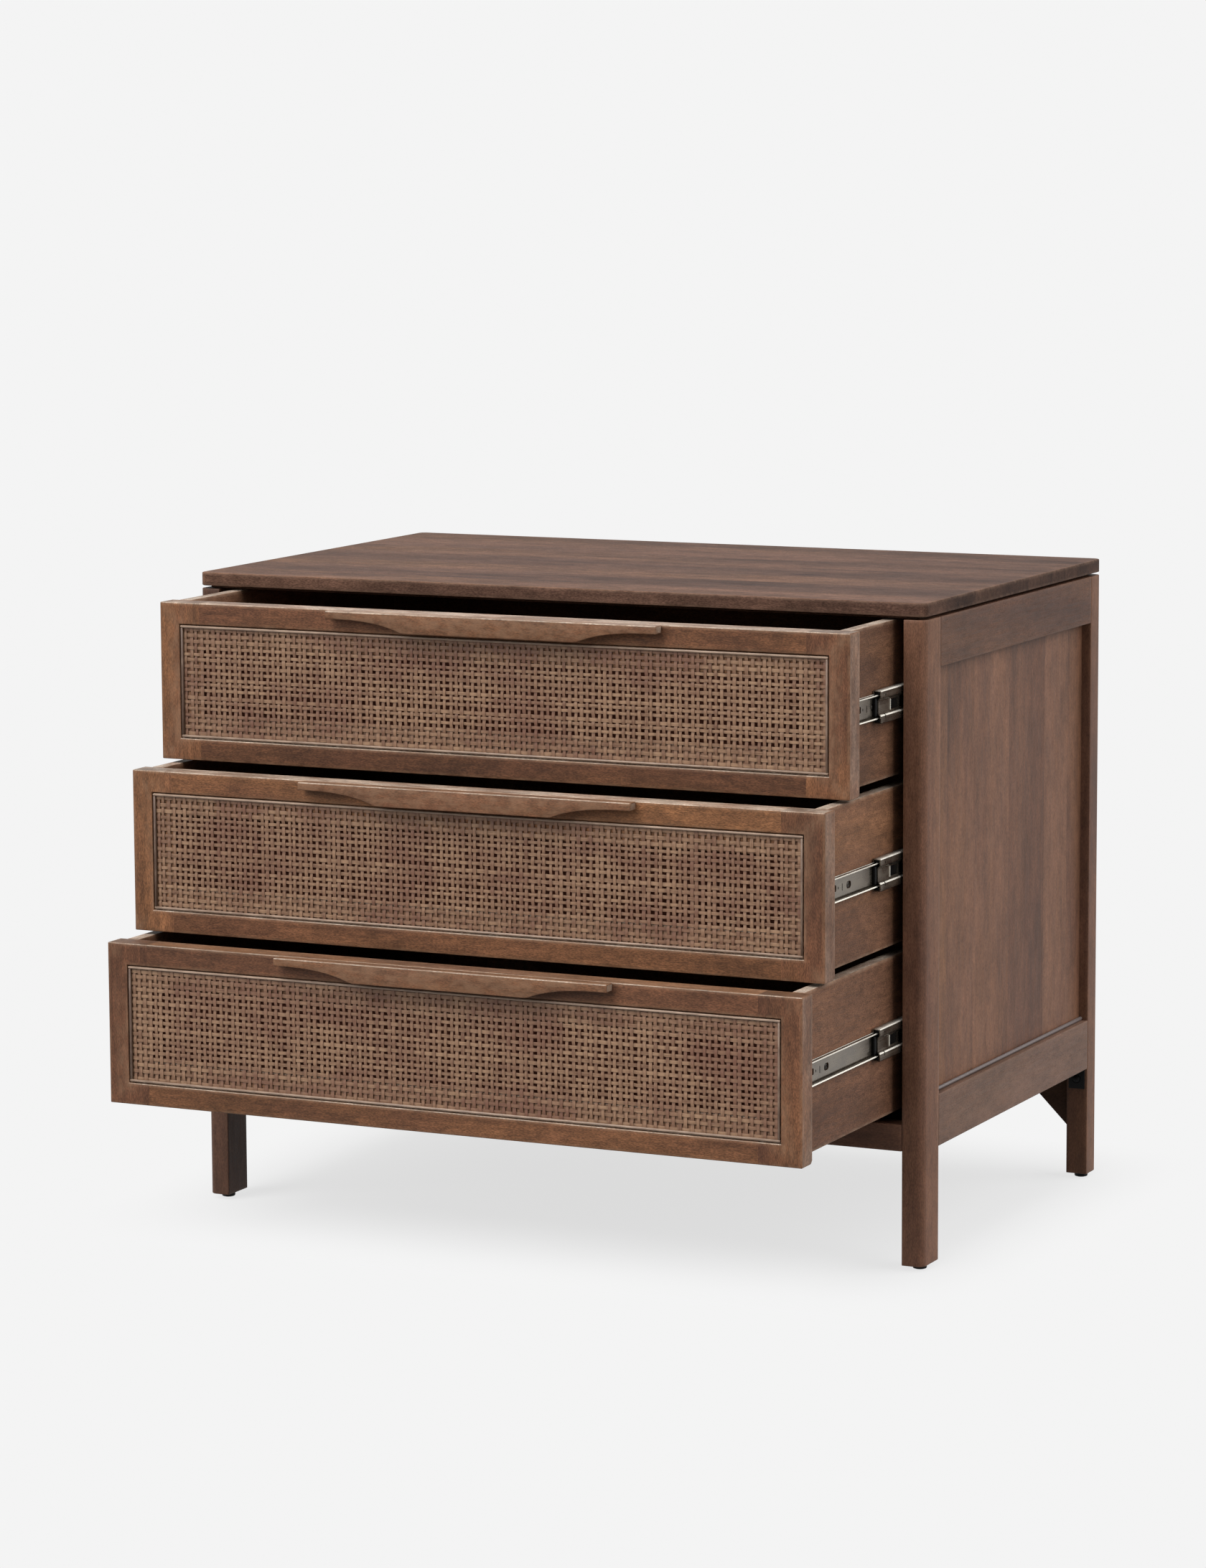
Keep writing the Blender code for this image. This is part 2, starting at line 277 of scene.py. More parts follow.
ground = bmesh.new()
bmesh.ops.create_grid(ground, x_segments=2, y_segments=2, size=floor_reach)
floor_mesh = bpy.data.meshes.new("floor")
ground.to_mesh(floor_mesh)
ground.free()
floor_mesh.materials.append(sheet)
floor = bpy.data.objects.new("floor", floor_mesh)
scene.collection.objects.link(floor)

for label, direction, strength, width in lamps:
    lamp = bpy.data.lights.new(label, "SUN")
    lamp.energy = strength
    lamp.angle = math.radians(width)
    holder = bpy.data.objects.new(label, lamp)
    holder.matrix_world = Vector(direction).to_track_quat("Z", "Y").to_matrix().to_4x4()
    scene.collection.objects.link(holder)
print("lamps:", len(lamps), "light on the open floor:", round(open_light, 3))

# %% [markdown]
# ## Wood grain as one shared effect
#
# All the boards are the same stained hardwood: a brown ground with broad soft figure, smoky patches, a
# few knots, blotches where the stain took unevenly, and short pores. One shader group makes it, and each
# finish sets its own colours. The group reads five things that the meshes carry: `grain`, the place
# along and across the fibres of that board; `board`, how light, golden or smoky the board is;
# `end_grain`, 1 where the fibres are cut across; a share by which a face is painted paler, partly as
# bare wood and partly as painted light; and `edge`, 1 on an eased edge, where the stain is rubbed thin.
# A row of the noise table says how closely the noise lies along and across the fibres, how fine and
# rough it is, which span of it is used and, if that isn't 0 to 1, what it is stretched to.


# %% Wood grain group
def new_group(label, inputs, outputs):
    """An empty shader group with named sockets."""
    tree = bpy.data.node_groups.new(label, "ShaderNodeTree")
    for way, sockets in (("INPUT", inputs), ("OUTPUT", outputs)):
        for name, kind in sockets:
            tree.interface.new_socket(name, in_out=way, socket_type="NodeSocket" + kind)
    return tree, tree.nodes.new("NodeGroupInput").outputs, tree.nodes.new("NodeGroupOutput")


shade_names = ("Light", "Dark", "Smoke", "Gold", "Rubbed")
amount_names = ("Streaks", "Pores", "Wear", "Contrast", "Base Roughness")
fibre_wander = 9 * mm
fibre_height = 0.35
fibre_levels = (0.91, 1.09)
fibre_roughness = (-0.05, 0.05)
pore_levels = (0.0, 1.0, 1.0, 0.40)
pore_roughness = 0.2
board_levels = (-1.0, 1.0, 0.60, 1.40)
end_levels = (0.5, 1.0, 1.0, 0.66)
knot_fade = (0.02, 0.10, 0.75, 0.0)
# The pale colour for bare wood and for painted light.
bare_and_lit_wood = colour(166, 150, 135)
drift_scale = (1.6, 8.0, 8.0)
knot_scale = (2.4, 6.5, 6.5)
fibre_scale = (18.0, 520.0, 520.0)
wood_noise = {
    "figure": ((0.9, 10.0, 10.0), 5.0, 0.55, 0.32, 0.68),
    "gold": ((3.0, 16.0, 16.0), 4.0, 0.6, 0.34, 0.64, 0.2, 1.3),
    "smoke": ((2.6, 13.0, 13.0), 5.0, 0.6, 0.52, 0.76),
    "bare_and_lit": ((16.0, 50.0, 50.0), 3.0, 0.6, 0.38, 0.58, 0.45, 1.0),
    "pores": ((70.0, 900.0, 900.0), 1.0, 0.55, 0.56, 0.72),
    "blotch": ((10.0, 28.0, 28.0), 4.0, 0.6, *noise_span, 0.84, 1.16),
    "mottle": ((60.0, 150.0, 150.0), 3.0, 0.55, *noise_span, 0.87, 1.13),
    "speckle": ((320.0, 1200.0, 1200.0), 1.0, 0.55, *noise_span, 0.76, 1.24),
    "streak": ((5.0, 70.0, 70.0), 4.0, 0.6, 0.52, 0.76, 1.02, 0.80),
    "rub": ((60.0, 140.0, 140.0), 3.0, 0.55, 0.35, 0.65, 0.25, 1.0),
}


def product(tree, values):
    """The product of several values."""
    level = 1.0
    for value in values:
        level = times(tree, level, value)
    return level


def make_wood_group():
    """Figure, smoky patches, knots, blotches, fibres and pores along the grain of each board."""
    inputs = [(name, "Color") for name in shade_names] + [(name, "Float") for name in amount_names]
    outputs = (("Color", "Color"), ("Roughness", "Float"), ("Height", "Float"))
    tree, given, result = new_group("wood_grain", inputs, outputs)
    grain = attribute(tree, "grain", "Vector")
    board = axes(tree, attribute(tree, "board", "Vector"))
    cut_across = attribute(tree, "end_grain")
    bare_and_lit = attribute(tree, "bare_and_lit")
    edge = attribute(tree, "edge")

    drift = cloud(tree, grain, drift_scale, 2.0, output="Color")
    drift = vectors(tree, "SUBTRACT", drift, (0.5, 0.5, 0.5))
    sway = (0.0, 2 * fibre_wander, 2 * fibre_wander)
    place = vectors(tree, "MULTIPLY_ADD", drift, sway, grain)

    wave = {}
    for label, (stretch, detail, roughness, *span) in wood_noise.items():
        wave[label] = spread(tree, cloud(tree, place, stretch, detail, roughness), *span)
    fibre = cloud(tree, place, fibre_scale, 2.0)
    sunk = times(tree, wave["pores"], given["Pores"])

    shade = mixed(tree, wave["figure"], given["Dark"], given["Light"])
    shade = mixed(tree, times(tree, wave["gold"], board["Y"]), shade, given["Gold"])
    smoky = plus(tree, given["Streaks"], board["Z"])
    shade = mixed(tree, times(tree, wave["smoke"], smoky), shade, given["Smoke"])
    spot = vectors(tree, "MULTIPLY", place, knot_scale)
    from_knot = add_node(tree, "TexVoronoi", {"Vector": spot, "Scale": 1.0}).outputs["Distance"]
    knot = spread(tree, from_knot, *knot_fade)
    shade = mixed(tree, knot, shade, given["Smoke"])
    # Paler where marked: partly bare wood, partly painted light.
    shade = mixed(tree, times(tree, bare_and_lit, wave["bare_and_lit"]), shade, bare_and_lit_wood)

    texture = [wave[label] for label in ("blotch", "mottle", "speckle", "streak")]
    texture.append(spread(tree, fibre, *fibre_span, *fibre_levels))
    marks = (
        spread(tree, board["X"], *board_levels),
        spread(tree, cut_across, *end_levels),
        spread(tree, sunk, *pore_levels),
    )
    level = sums(tree, "POWER", product(tree, texture), given["Contrast"])
    level = times(tree, level, product(tree, marks))
    shade = mixed(tree, 1.0, shade, evenly(tree, level), "MULTIPLY")
    rubbed = times(tree, times(tree, edge, wave["rub"]), given["Wear"])
    shade = mixed(tree, rubbed, shade, given["Rubbed"])

    rough = plus(tree, given["Base Roughness"], spread(tree, fibre, *fibre_span, *fibre_roughness))
    rough = plus(tree, rough, times(tree, sunk, pore_roughness))
    height = minus(tree, times(tree, fibre, fibre_height), sunk)
    fill(tree, result, {"Color": shade, "Roughness": rough, "Height": height})
    return tree


wood_grain = make_wood_group()
print("wood group nodes:", len(wood_grain.nodes))

# %% [markdown]
# ## The wood finishes
#
# The same wood looks different where it is used. The top is greyer, partly from its own stain and partly
# as a painted sheen of the sky; the case is a plain brown with paler low rails, the drawer fronts are the
# warmest, and the boxes and thin panels are duller. A row of the table holds five colours, then how much
# smoke, pores, wear and contrast the wood has and how rough it is, and last its shine. A Bump node lets
# the pores catch the light.

# %% Wood finishes
wood_bump = (0.6, 0.15 * mm)
wood_table = (
    # The top's greyish colours are partly a painted sheen of the sky.
    ("top_wood", ((94, 69, 57), (69, 50, 42), (50, 37, 35), (101, 73, 52), (122, 98, 82)),
     (0.34, 0.30, 0.35, 1.3, 0.56), 0.05),
    ("case_wood", ((108, 76, 59), (81, 54, 42), (57, 41, 35), (113, 79, 56), (127, 95, 76)),
     (0.35, 0.30, 0.12, 0.95, 0.54), 0.20),
    ("rail_wood", ((108, 82, 68), (88, 66, 56), (70, 55, 50), (114, 86, 64), (127, 99, 82)),
     (0.20, 0.30, 0.12, 0.8, 0.54), 0.20),
    ("front_wood", ((105, 69, 49), (78, 49, 35), (58, 39, 31), (117, 79, 51), (133, 103, 80)),
     (0.22, 0.35, 0.50, 1.4, 0.52), 0.20),
    ("box_wood", ((112, 79, 60), (85, 58, 44), (69, 49, 42), (120, 84, 58), (150, 125, 105)),
     (0.30, 0.35, 0.50, 1.2, 0.58), 0.18),
    ("panel_wood", ((87, 63, 50), (68, 47, 37), (55, 40, 33), (93, 66, 46), (109, 83, 64)),
     (0.25, 0.30, 0.15, 1.0, 0.62), 0.15),
)


def wood_finish(label, shades, amounts, shine):
    """One wood finish: its colours and amounts go to the shared group, its shine to the shader."""
    finish, tree, shader = new_finish(label)
    wood = add_node(tree, "Group", node_tree=wood_grain)
    fill(tree, wood, dict(zip(shade_names, [colour(*shade) for shade in shades])))
    fill(tree, wood, dict(zip(amount_names, amounts)))
    made = wood.outputs
    fill(tree, shader, {"Base Color": made["Color"], "Roughness": made["Roughness"],
                        "Normal": bumps(tree, made["Height"], *wood_bump),
                        "Specular IOR Level": shine})
    return finish


wood_finishes = [wood_finish(*row) for row in wood_table]
top_wood, case_wood, rail_wood, front_wood, box_wood, panel_wood = wood_finishes
print("finishes:", [finish.name for finish in wood_finishes])

# %% [markdown]
# ## From a cube to a board
#
# Every board starts as a cube that is brought to size between two corners. A plane scores it a few
# millimetres in from each side, so that the worn edge fades out there and not across the whole face.
# Then the sharp edges are bevelled. The grain could come from object coordinates, but each board is
# cut from another tree, so every board writes its own grain place on its face corners.

# %% Boards
edge_fade = 4 * mm
ease = 0.7 * mm
ease_steps = 2
sharp_angle = math.radians(40)
flat_limit = 0.99
arris_limit = 0.85
forest_size = 50.0
board_crease = 50.0
axis_order = {"x": (0, 1, 2), "y": (1, 0, 2), "z": (2, 0, 1)}


def new_shape():
    """An empty bmesh with the five layers that the finishes read."""
    shape = bmesh.new()
    shape.verts.layers.float.new("edge")
    shape.faces.layers.float_vector.new("board")
    shape.faces.layers.float.new("end_grain")
    shape.faces.layers.float.new("bare_and_lit")
    shape.loops.layers.float_vector.new("grain")
    return shape


def add_block(shape, low, high):
    """A cube between two opposite corners."""
    low, high = Vector(low), Vector(high)
    verts = bmesh.ops.create_cube(shape, size=1.0)["verts"]
    bmesh.ops.scale(shape, vec=high - low, verts=verts)
    bmesh.ops.translate(shape, vec=(low + high) / 2, verts=verts)
    return verts


def everything(shape):
    """All the verts, edges and faces of a shape."""
    return shape.verts[:] + shape.edges[:] + shape.faces[:]


def only(parts, kind):
    """The verts, the edges or the faces among what an operator made."""
    return [part for part in parts if isinstance(part, kind)]


def face_outwards(shape):
    """Turn all the faces of a shape to look out of it."""
    bmesh.ops.recalc_face_normals(shape, faces=shape.faces)


def bevel(shape, edges, width, steps):
    """Round some edges of a shape."""
    return bmesh.ops.bevel(shape, geom=edges, offset=width, segments=steps, profile=0.5,
                           affect="EDGES", material=-1)


def new_block(low, high):
    """A new shape with one cube in it."""
    shape = new_shape()
    add_block(shape, low, high)
    return shape


def score(shape, axis, places):
    """Cut edges into the faces along planes that stand across one axis."""
    normal = Vector((0.0, 0.0, 0.0))
    normal[axis] = 1.0
    for place in places:
        bmesh.ops.bisect_plane(shape, geom=everything(shape), plane_co=normal * place, plane_no=normal)


def score_sides(shape, low, high):
    """Score a board a little way in from each of its six sides."""
    for axis in range(3):
        fade = min(edge_fade, (high[axis] - low[axis]) / 4)
        score(shape, axis, (low[axis] + fade, high[axis] - fade))


def ease_edges(shape, width=ease, steps=ease_steps):
    """Round the sharp edges and mark what the rounding made as worn edge."""
    sharp = [edge for edge in shape.edges if edge.calc_face_angle(0.0) > sharp_angle]
    made = bevel(shape, sharp, width, steps)
    edge = shape.verts.layers.float["edge"]
    for vert in made["verts"]:
        vert[edge] = 1.0


def another_tree():
    """A place of its own in the endless noise, for the next board or strip."""
    return Vector([draw.uniform(0.0, forest_size) for axis in range(3)])


def lay_grain(shape, along, tone, faces=None):
    """Write the grain place, the tone and the end grain on the faces of one board."""
    grain = shape.loops.layers.float_vector["grain"]
    board = shape.faces.layers.float_vector["board"]
    end_grain = shape.faces.layers.float["end_grain"]
    order = axis_order[along]
    tree_place = another_tree()
    for face in faces or shape.faces:
        face[board] = tone
        face[end_grain] = abs(face.normal[order[0]])
        for loop in face.loops:
            loop[grain] = Vector([loop.vert.co[axis] for axis in order]) + tree_place


def faces_along(shape, direction, limit):
    """The faces that look along a direction, or nearly so if the limit is lower."""
    aim = Vector(direction).normalized()
    return [face for face in shape.faces if face.normal.dot(aim) > limit]


def paint_bare_and_lit(shape, direction, share, limit=flat_limit):
    """Mark the faces that look along a direction as painted paler, for bare wood and for painted light.
    """
    bare_and_lit = shape.faces.layers.float["bare_and_lit"]
    for face in faces_along(shape, direction, limit):
        face[bare_and_lit] = share


def tint(shape, direction, tone):
    """Give the flat faces that look along a direction a tone of their own."""
    board = shape.faces.layers.float_vector["board"]
    for face in faces_along(shape, direction, flat_limit):
        face[board] = tone


def any_tone(level=0.0, gold=0.3, smoke=0.0, play=0.25):
    """A tone near the given lightness, goldness and smokiness."""
    swing = [draw.uniform(-play, play) for part in range(3)]
    return level + swing[0], max(0.0, gold + swing[1]), max(0.0, smoke + swing[2])


def sawn_board(low, high, along, tone, width=ease):
    """A plain board with eased edges and its own grain."""
    shape = new_block(low, high)
    score_sides(shape, low, high)
    ease_edges(shape, width)
    lay_grain(shape, along, tone)
    return shape


def add_piece(label, shapes, finish, body, nodes=(), crease=board_crease):
    """Join finished shapes into one piece that rides on a body and stands for its solids."""
    whole = bmesh.new()
    for shape in shapes:
        part = bpy.data.meshes.new("part")
        shape.to_mesh(part)
        shape.free()
        whole.from_mesh(part)
        bpy.data.meshes.remove(part)
    mesh = bpy.data.meshes.new(label)
    whole.to_mesh(mesh)
    whole.free()
    mesh.materials.append(finish)
    mesh.shade_smooth()
    mesh.set_sharp_from_angle(angle=math.radians(crease))
    piece = bpy.data.objects.new(label, mesh)
    scene.collection.objects.link(piece)
    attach(piece, body)
    if nodes:
        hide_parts(*nodes)
    return piece


print("eased edges:", round(ease / mm, 2), "mm")

# %% [markdown]
# ## The top
#
# The top is glued up from long staves, so its colour changes in bands from front to back. It has four
# rounded corners and stands on a thin plate that is set back all round, which leaves a dark shadow
# line. Loose staves would show seams that the real top doesn't have. So the top is one bevelled block
# that planes score into staves, and only the grain changes from stave to stave. Planes also score it
# across in even steps, so that painted shade can make it a little darker and greyer towards the right.

# %% Top
corner_radius = 9 * mm
corner_steps = 6
top_ease = 1.2 * mm
upright_limit = 0.9
shadow_plate_level = -0.3
shadow_line = 3 * mm
shadow_setback = 10 * mm
stave_widths = (0.062, 0.088, 0.071, 0.094, 0.078, 0.083, 0.083)
stave_tones = ((0.48, 0.35, -0.34), (-0.08, 0.10, 0.46), (0.05, 0.40, 0.10), (-0.05, 0.10, 0.34),
               (0.05, 0.30, 0.05), (-0.04, 0.15, 0.25), (0.0, 0.30, 0.10))
front_edge_tone = (0.05, 0.12, 0.10)
# Painted shade: the top turns darker and greyer towards its right end.
painted_shade_fall = Vector((-0.26, -0.30, 0.10))
painted_shade_steps = 24


def round_uprights(shape, corners):
    """Round the upright edges nearest to the given corners of the plan."""
    def rise(edge):
        return abs((edge.verts[0].co - edge.verts[1].co).normalized().z)

    uprights = [edge for edge in shape.edges if rise(edge) > upright_limit]
    chosen = []
    for corner in corners:
        chosen.append(min(uprights, key=lambda edge: (edge.verts[0].co.xy - Vector(corner)).length))
    bevel(shape, chosen, corner_radius, corner_steps)


def paint_shade_to_right(shape, low, high):
    """Paint shade on a board that grows evenly from its left end to its right."""
    board = shape.faces.layers.float_vector["board"]
    for face in shape.faces:
        share = (face.calc_center_median().x - low.x) / (high.x - low.x)
        face[board] = face[board] + painted_shade_fall * share


def make_top():
    """The scored top with its tones, and the set-back plate under it."""
    low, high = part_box("top_panel")
    board_low = Vector((low.x, low.y, low.z + shadow_line))
    shape = new_block(board_low, high)
    round_uprights(shape, [(x, y) for x in (low.x, high.x) for y in (low.y, high.y)])
    score_sides(shape, board_low, high)
    seams = [low.y + sum(stave_widths[:count]) for count in range(1, len(stave_widths))]
    score(shape, 1, seams)
    step = (high.x - low.x) / painted_shade_steps
    score(shape, 0, [low.x + step * number for number in range(1, painted_shade_steps)])
    ease_edges(shape, top_ease)
    starts = [-math.inf, *seams, math.inf]
    for number, tone in enumerate(stave_tones):
        faces = [face for face in shape.faces
                 if starts[number] <= face.calc_center_median().y < starts[number + 1]]
        lay_grain(shape, "x", tone, faces)
    tint(shape, (0, -1, 0), front_edge_tone)
    # Painted shade, darker and greyer towards the right.
    paint_shade_to_right(shape, low, high)
    inset = Vector((shadow_setback, shadow_setback, 0.0))
    plate_high = Vector((high.x, high.y, board_low.z))
    plate = sawn_board(low + inset, plate_high - inset, "x", any_tone(shadow_plate_level))
    return add_piece("top_staves", [shape, plate], top_wood, "cabinet", ["top_panel"])


top = make_top()
print("top faces:", len(top.data.polygons))

# %% [markdown]
# ## Legs and glides
#
# Each leg is one square post that runs from the floor to the top, with a generous round on its outer
# corner. The same block, bevel and ease steps make it. Under each leg sits a black plastic glide: a
# profile of a few points, spun once round its middle, gives its soft rim.

# %% Legs and glides
glide_steps = 28
glide_profile = ((0.0, 0.0), (0.72, 0.0), (0.94, 0.10), (1.0, 0.30), (1.0, 0.75), (0.90, 1.0), (0.0, 1.0))
plastic_dark = colour(5, 5, 5)
plastic_light = colour(13, 12, 12)
plastic_scale = (900.0, 900.0, 900.0)
plastic_roughness = (0.38, 0.55)
plastic_bump = (0.3, 0.1 * mm)
plastic_shine = 0.10
same_place = 0.001 * mm
# The front left leg is painted much darker and smokier as painted shade under the drawers; the front
# right leg is painted a little lighter as painted light.
leg_tones_and_painted_light = {
    ("front", "left"): (-1.0, 0.15, 0.40), ("front", "right"): (0.13, 0.25, 0.15),
    ("back", "left"): (0.0, 0.20, 0.15), ("back", "right"): (0.0, 0.25, 0.10),
}


def black_finish():
    """Moulded black plastic with a fine grain in its gloss."""
    finish, tree, shader = new_finish("black_plastic")
    speckle = cloud(tree, own_place(tree), plastic_scale, 2.0)
    fill(tree, shader, {"Base Color": mixed(tree, speckle, plastic_dark, plastic_light),
                        "Roughness": spread(tree, speckle, *noise_span, *plastic_roughness),
                        "Normal": bumps(tree, speckle, *plastic_bump),
                        "Specular IOR Level": plastic_shine})
    return finish


def turned(profile, steps):
    """A turned shape: a profile of radius and height pairs, spun round an upright axis."""
    shape = new_shape()
    verts = [shape.verts.new((radius, 0.0, height)) for radius, height in profile]
    edges = [shape.edges.new(pair) for pair in zip(verts, verts[1:])]
    bmesh.ops.spin(shape, geom=verts + edges, cent=(0, 0, 0), axis=(0, 0, 1), angle=2 * math.pi,
                   steps=steps, use_merge=True)
    bmesh.ops.remove_doubles(shape, verts=shape.verts, dist=same_place)
    face_outwards(shape)
    return shape


black_plastic = black_finish()


def make_leg(row, side):
    """One post with its outer corner rounded, and the glide that it stands on."""
    low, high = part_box(f"leg_{row}_{side}")
    outer = (low.x if side == "left" else high.x, low.y if row == "front" else high.y)
    shape = new_block(low, high)
    round_uprights(shape, [outer])
    score_sides(shape, low, high)
    ease_edges(shape)
    lay_grain(shape, "z", leg_tones_and_painted_light[row, side])
    add_piece(f"post_{row}_{side}", [shape], case_wood, "cabinet", [f"leg_{row}_{side}"])
    low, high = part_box(f"foot_{row}_{side}")
    radius = (high.x - low.x) / 2
    tall = high.z - low.z
    shape = turned([(out * radius, up * tall) for out, up in glide_profile], glide_steps)
    middle = ((low.x + high.x) / 2, (low.y + high.y) / 2, low.z)
    bmesh.ops.translate(shape, vec=middle, verts=shape.verts)
    node = f"foot_{row}_{side}"
    add_piece(f"glide_{row}_{side}", [shape], black_plastic, "cabinet", [node])


for leg_row in ("front", "back"):
    for leg_side in ("left", "right"):
        make_leg(leg_row, leg_side)
print("legs: 4, glides: 4")

# %% [markdown]
# ## Sides, rails and back
#
# Each side is a frame: the two legs, a rail above and a rail below, and a panel of upright boards set
# back between them. A low rail closes the front, a wider one the back, where a thin panel fills the
# rest. Three-cornered braces stiffen the back legs. All are boards; a brace is a board that one
# slanting plane cuts in half.

# %% Case boards
board_shares = (0.0, 0.10, 0.27, 0.50, 0.74, 0.90, 1.0)
board_tones = ((0.08, 0.60, 0.0), (0.02, 0.35, 0.40), (0.12, 0.25, 0.05), (0.05, 0.15, 0.25),
               (0.0, 0.15, 0.15), (0.06, 0.35, 0.0))
rail_tones = {"top": (-0.40, 0.25, 0.12), "bottom": (0.0, 0.15, 0.10)}
rail_finishes = {"top": case_wood, "bottom": rail_wood}
low_rail_tone = (-0.1, 0.2, 0.1)
brace_tone = (-0.2, 0.1, 0.2)
back_tone = (0.0, 0.2, 0.1)
panel_gap = 1.3 * mm


def make_side(side):
    """Rails and glued-up panel of one side."""
    for level in ("top", "bottom"):
        node = f"side_{level}_rail_{side}"
        shape = sawn_board(*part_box(node), "y", rail_tones[level])
        finish = rail_finishes[level]
        add_piece(f"case_{level}_rail_{side}", [shape], finish, "cabinet", [node])
    node = f"side_panel_{side}"
    low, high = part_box(f"side_panel_{side}")
    low.z += panel_gap
    shape = new_block(low, high)
    seams = [low.y + (high.y - low.y) * share for share in board_shares]
    score(shape, 1, seams[1:-1])
    for start, end, tone in zip(seams, seams[1:], board_tones):
        faces = [face for face in shape.faces if start <= face.calc_center_median().y <= end]
        lay_grain(shape, "z", tone, faces)
    add_piece(f"case_boards_{side}", [shape], case_wood, "cabinet", [node])


def make_brace(side):
    """A square block cut on the slant."""
    node = f"corner_brace_{side}"
    low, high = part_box(f"corner_brace_{side}")
    sign = 1 if side == "right" else -1
    shape = new_block(low, high)
    cut = bmesh.ops.bisect_plane(shape, geom=everything(shape), plane_co=(low + high) / 2,
                                 plane_no=(-sign, 0.0, -1.0), clear_outer=True)["geom_cut"]
    bmesh.ops.edgeloop_fill(shape, edges=only(cut, bmesh.types.BMEdge))
    ease_edges(shape)
    lay_grain(shape, "x", any_tone(*brace_tone))
    add_piece(f"brace_{side}", [shape], panel_wood, "cabinet", [node])


for case_side in ("left", "right"):
    make_side(case_side)
    make_brace(case_side)
for rail in ("front_rail", "back_rail"):
    rail_shape = sawn_board(*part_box(rail), "x", any_tone(*low_rail_tone))
    add_piece("case_" + rail, [rail_shape], case_wood, "cabinet", [rail])
back_shape = sawn_board(*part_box("back_panel"), "z", any_tone(*back_tone))
add_piece("case_back", [back_shape], panel_wood, "cabinet", ["back_panel"])
print("side boards:", len(board_tones))

# %% [markdown]
# ## Drawer fronts
#
# A front is a frame of two upright stiles with two rails between them. Its inner edge is cut back to a
# ledge that carries the cane, and the middle is open. The joints are glued and sanded flush, so only
# the grain tells the boards apart. That is why one block is inset, sunk and opened with a bridge from
# front to back, then scored along the joints, and the grain is laid on it board by board. The ends are
# painted paler than the face. The top is paler too, partly as wood that took less stain and partly as
# painted light from above, and the upper front edge carries a pale painted highlight.

# %% Drawer fronts
cane_border = 24.5 * mm
cane_ledge = 25.5 * mm
ledge_depth = 5 * mm
stile_width = 51 * mm
front_ease = 0.9 * mm
low_back_radius = 5 * mm
low_back_steps = 4
on_the_edge = 0.1 * mm
# The ends are painted paler than the face.
pale_ends = 0.22
# The tops are painted paler, partly as wood that took less stain and partly as painted light from above.
front_tops_bare_and_lit = {1: 0.60, 2: 0.80, 3: 0.12}
top_tones = {1: (0.0, 0.45, 0.0), 2: (0.0, 0.45, 0.0), 3: (-0.40, 1.0, 0.0)}
# A pale painted highlight along the upper front edge of the fronts and the pulls.
arris_painted_highlight = 1.1
front_tones = {
    (1, "left"): (0.08, 0.55, 0.05), (1, "right"): (0.36, 0.55, 0.10),
    (1, "top"): (-0.08, 0.45, 0.20), (1, "bottom"): (-0.36, 0.28, 0.25),
    (2, "left"): (0.20, 0.70, 0.05), (2, "right"): (0.0, 0.35, 0.20),
    (2, "top"): (0.12, 0.75, 0.10), (2, "bottom"): (-0.24, 0.42, 0.18),
    (3, "left"): (-0.35, 0.05, 0.40), (3, "right"): (-0.10, 0.30, 0.05),
    (3, "top"): (-0.36, 0.10, 0.45), (3, "bottom"): (-0.32, 0.50, 0.10),
}


def facing(shape, direction):
    """The face that looks most along a direction, furthest out."""
    return max(shape.faces, key=lambda face: (round(face.normal.dot(direction), 3),
                                              face.calc_center_median().dot(direction)))


def stepped_frame(low, high):
    """A block whose front is inset and sunk to a ledge, and whose middle is open."""
    shape = new_block(low, high)
    near = facing(shape, Vector((0, -1, 0)))
    far = facing(shape, Vector((0, 1, 0)))
    bmesh.ops.inset_region(shape, faces=[near], thickness=cane_border, use_even_offset=True)
    grown = bmesh.ops.extrude_face_region(shape, geom=[near])["geom"]
    sunk = only(grown, bmesh.types.BMFace)
    if near.is_valid:
        bmesh.ops.delete(shape, geom=[near], context="FACES_ONLY")
    bmesh.ops.translate(shape, vec=(0.0, ledge_depth, 0.0), verts=only(grown, bmesh.types.BMVert))
    bmesh.ops.inset_region(shape, faces=sunk, thickness=cane_ledge, use_even_offset=True)
    bmesh.ops.inset_region(shape, faces=[far], thickness=cane_border + cane_ledge, use_even_offset=True)
    rims = list(sunk[0].edges) + list(far.edges)
    bmesh.ops.delete(shape, geom=[sunk[0], far], context="FACES_ONLY")
    bmesh.ops.bridge_loops(shape, edges=rims)
    face_outwards(shape)
    return shape


def round_low_back(shape, low, high):
    """Round the lower back edge of a front, where it hangs over the box."""
    corner = Vector((0.0, high.y, low.z))
    lowest = [edge for edge in shape.edges
              if all((vert.co.yz - corner.yz).length < on_the_edge for vert in edge.verts)]
    bevel(shape, lowest, low_back_radius, low_back_steps)


def which_board(place, low, high):
    """The name of the front's board that a place lies on."""
    if place.x < low.x + stile_width:
        return "left"
    if place.x > high.x - stile_width:
        return "right"
    return "top" if place.z > (low.z + high.z) / 2 else "bottom"


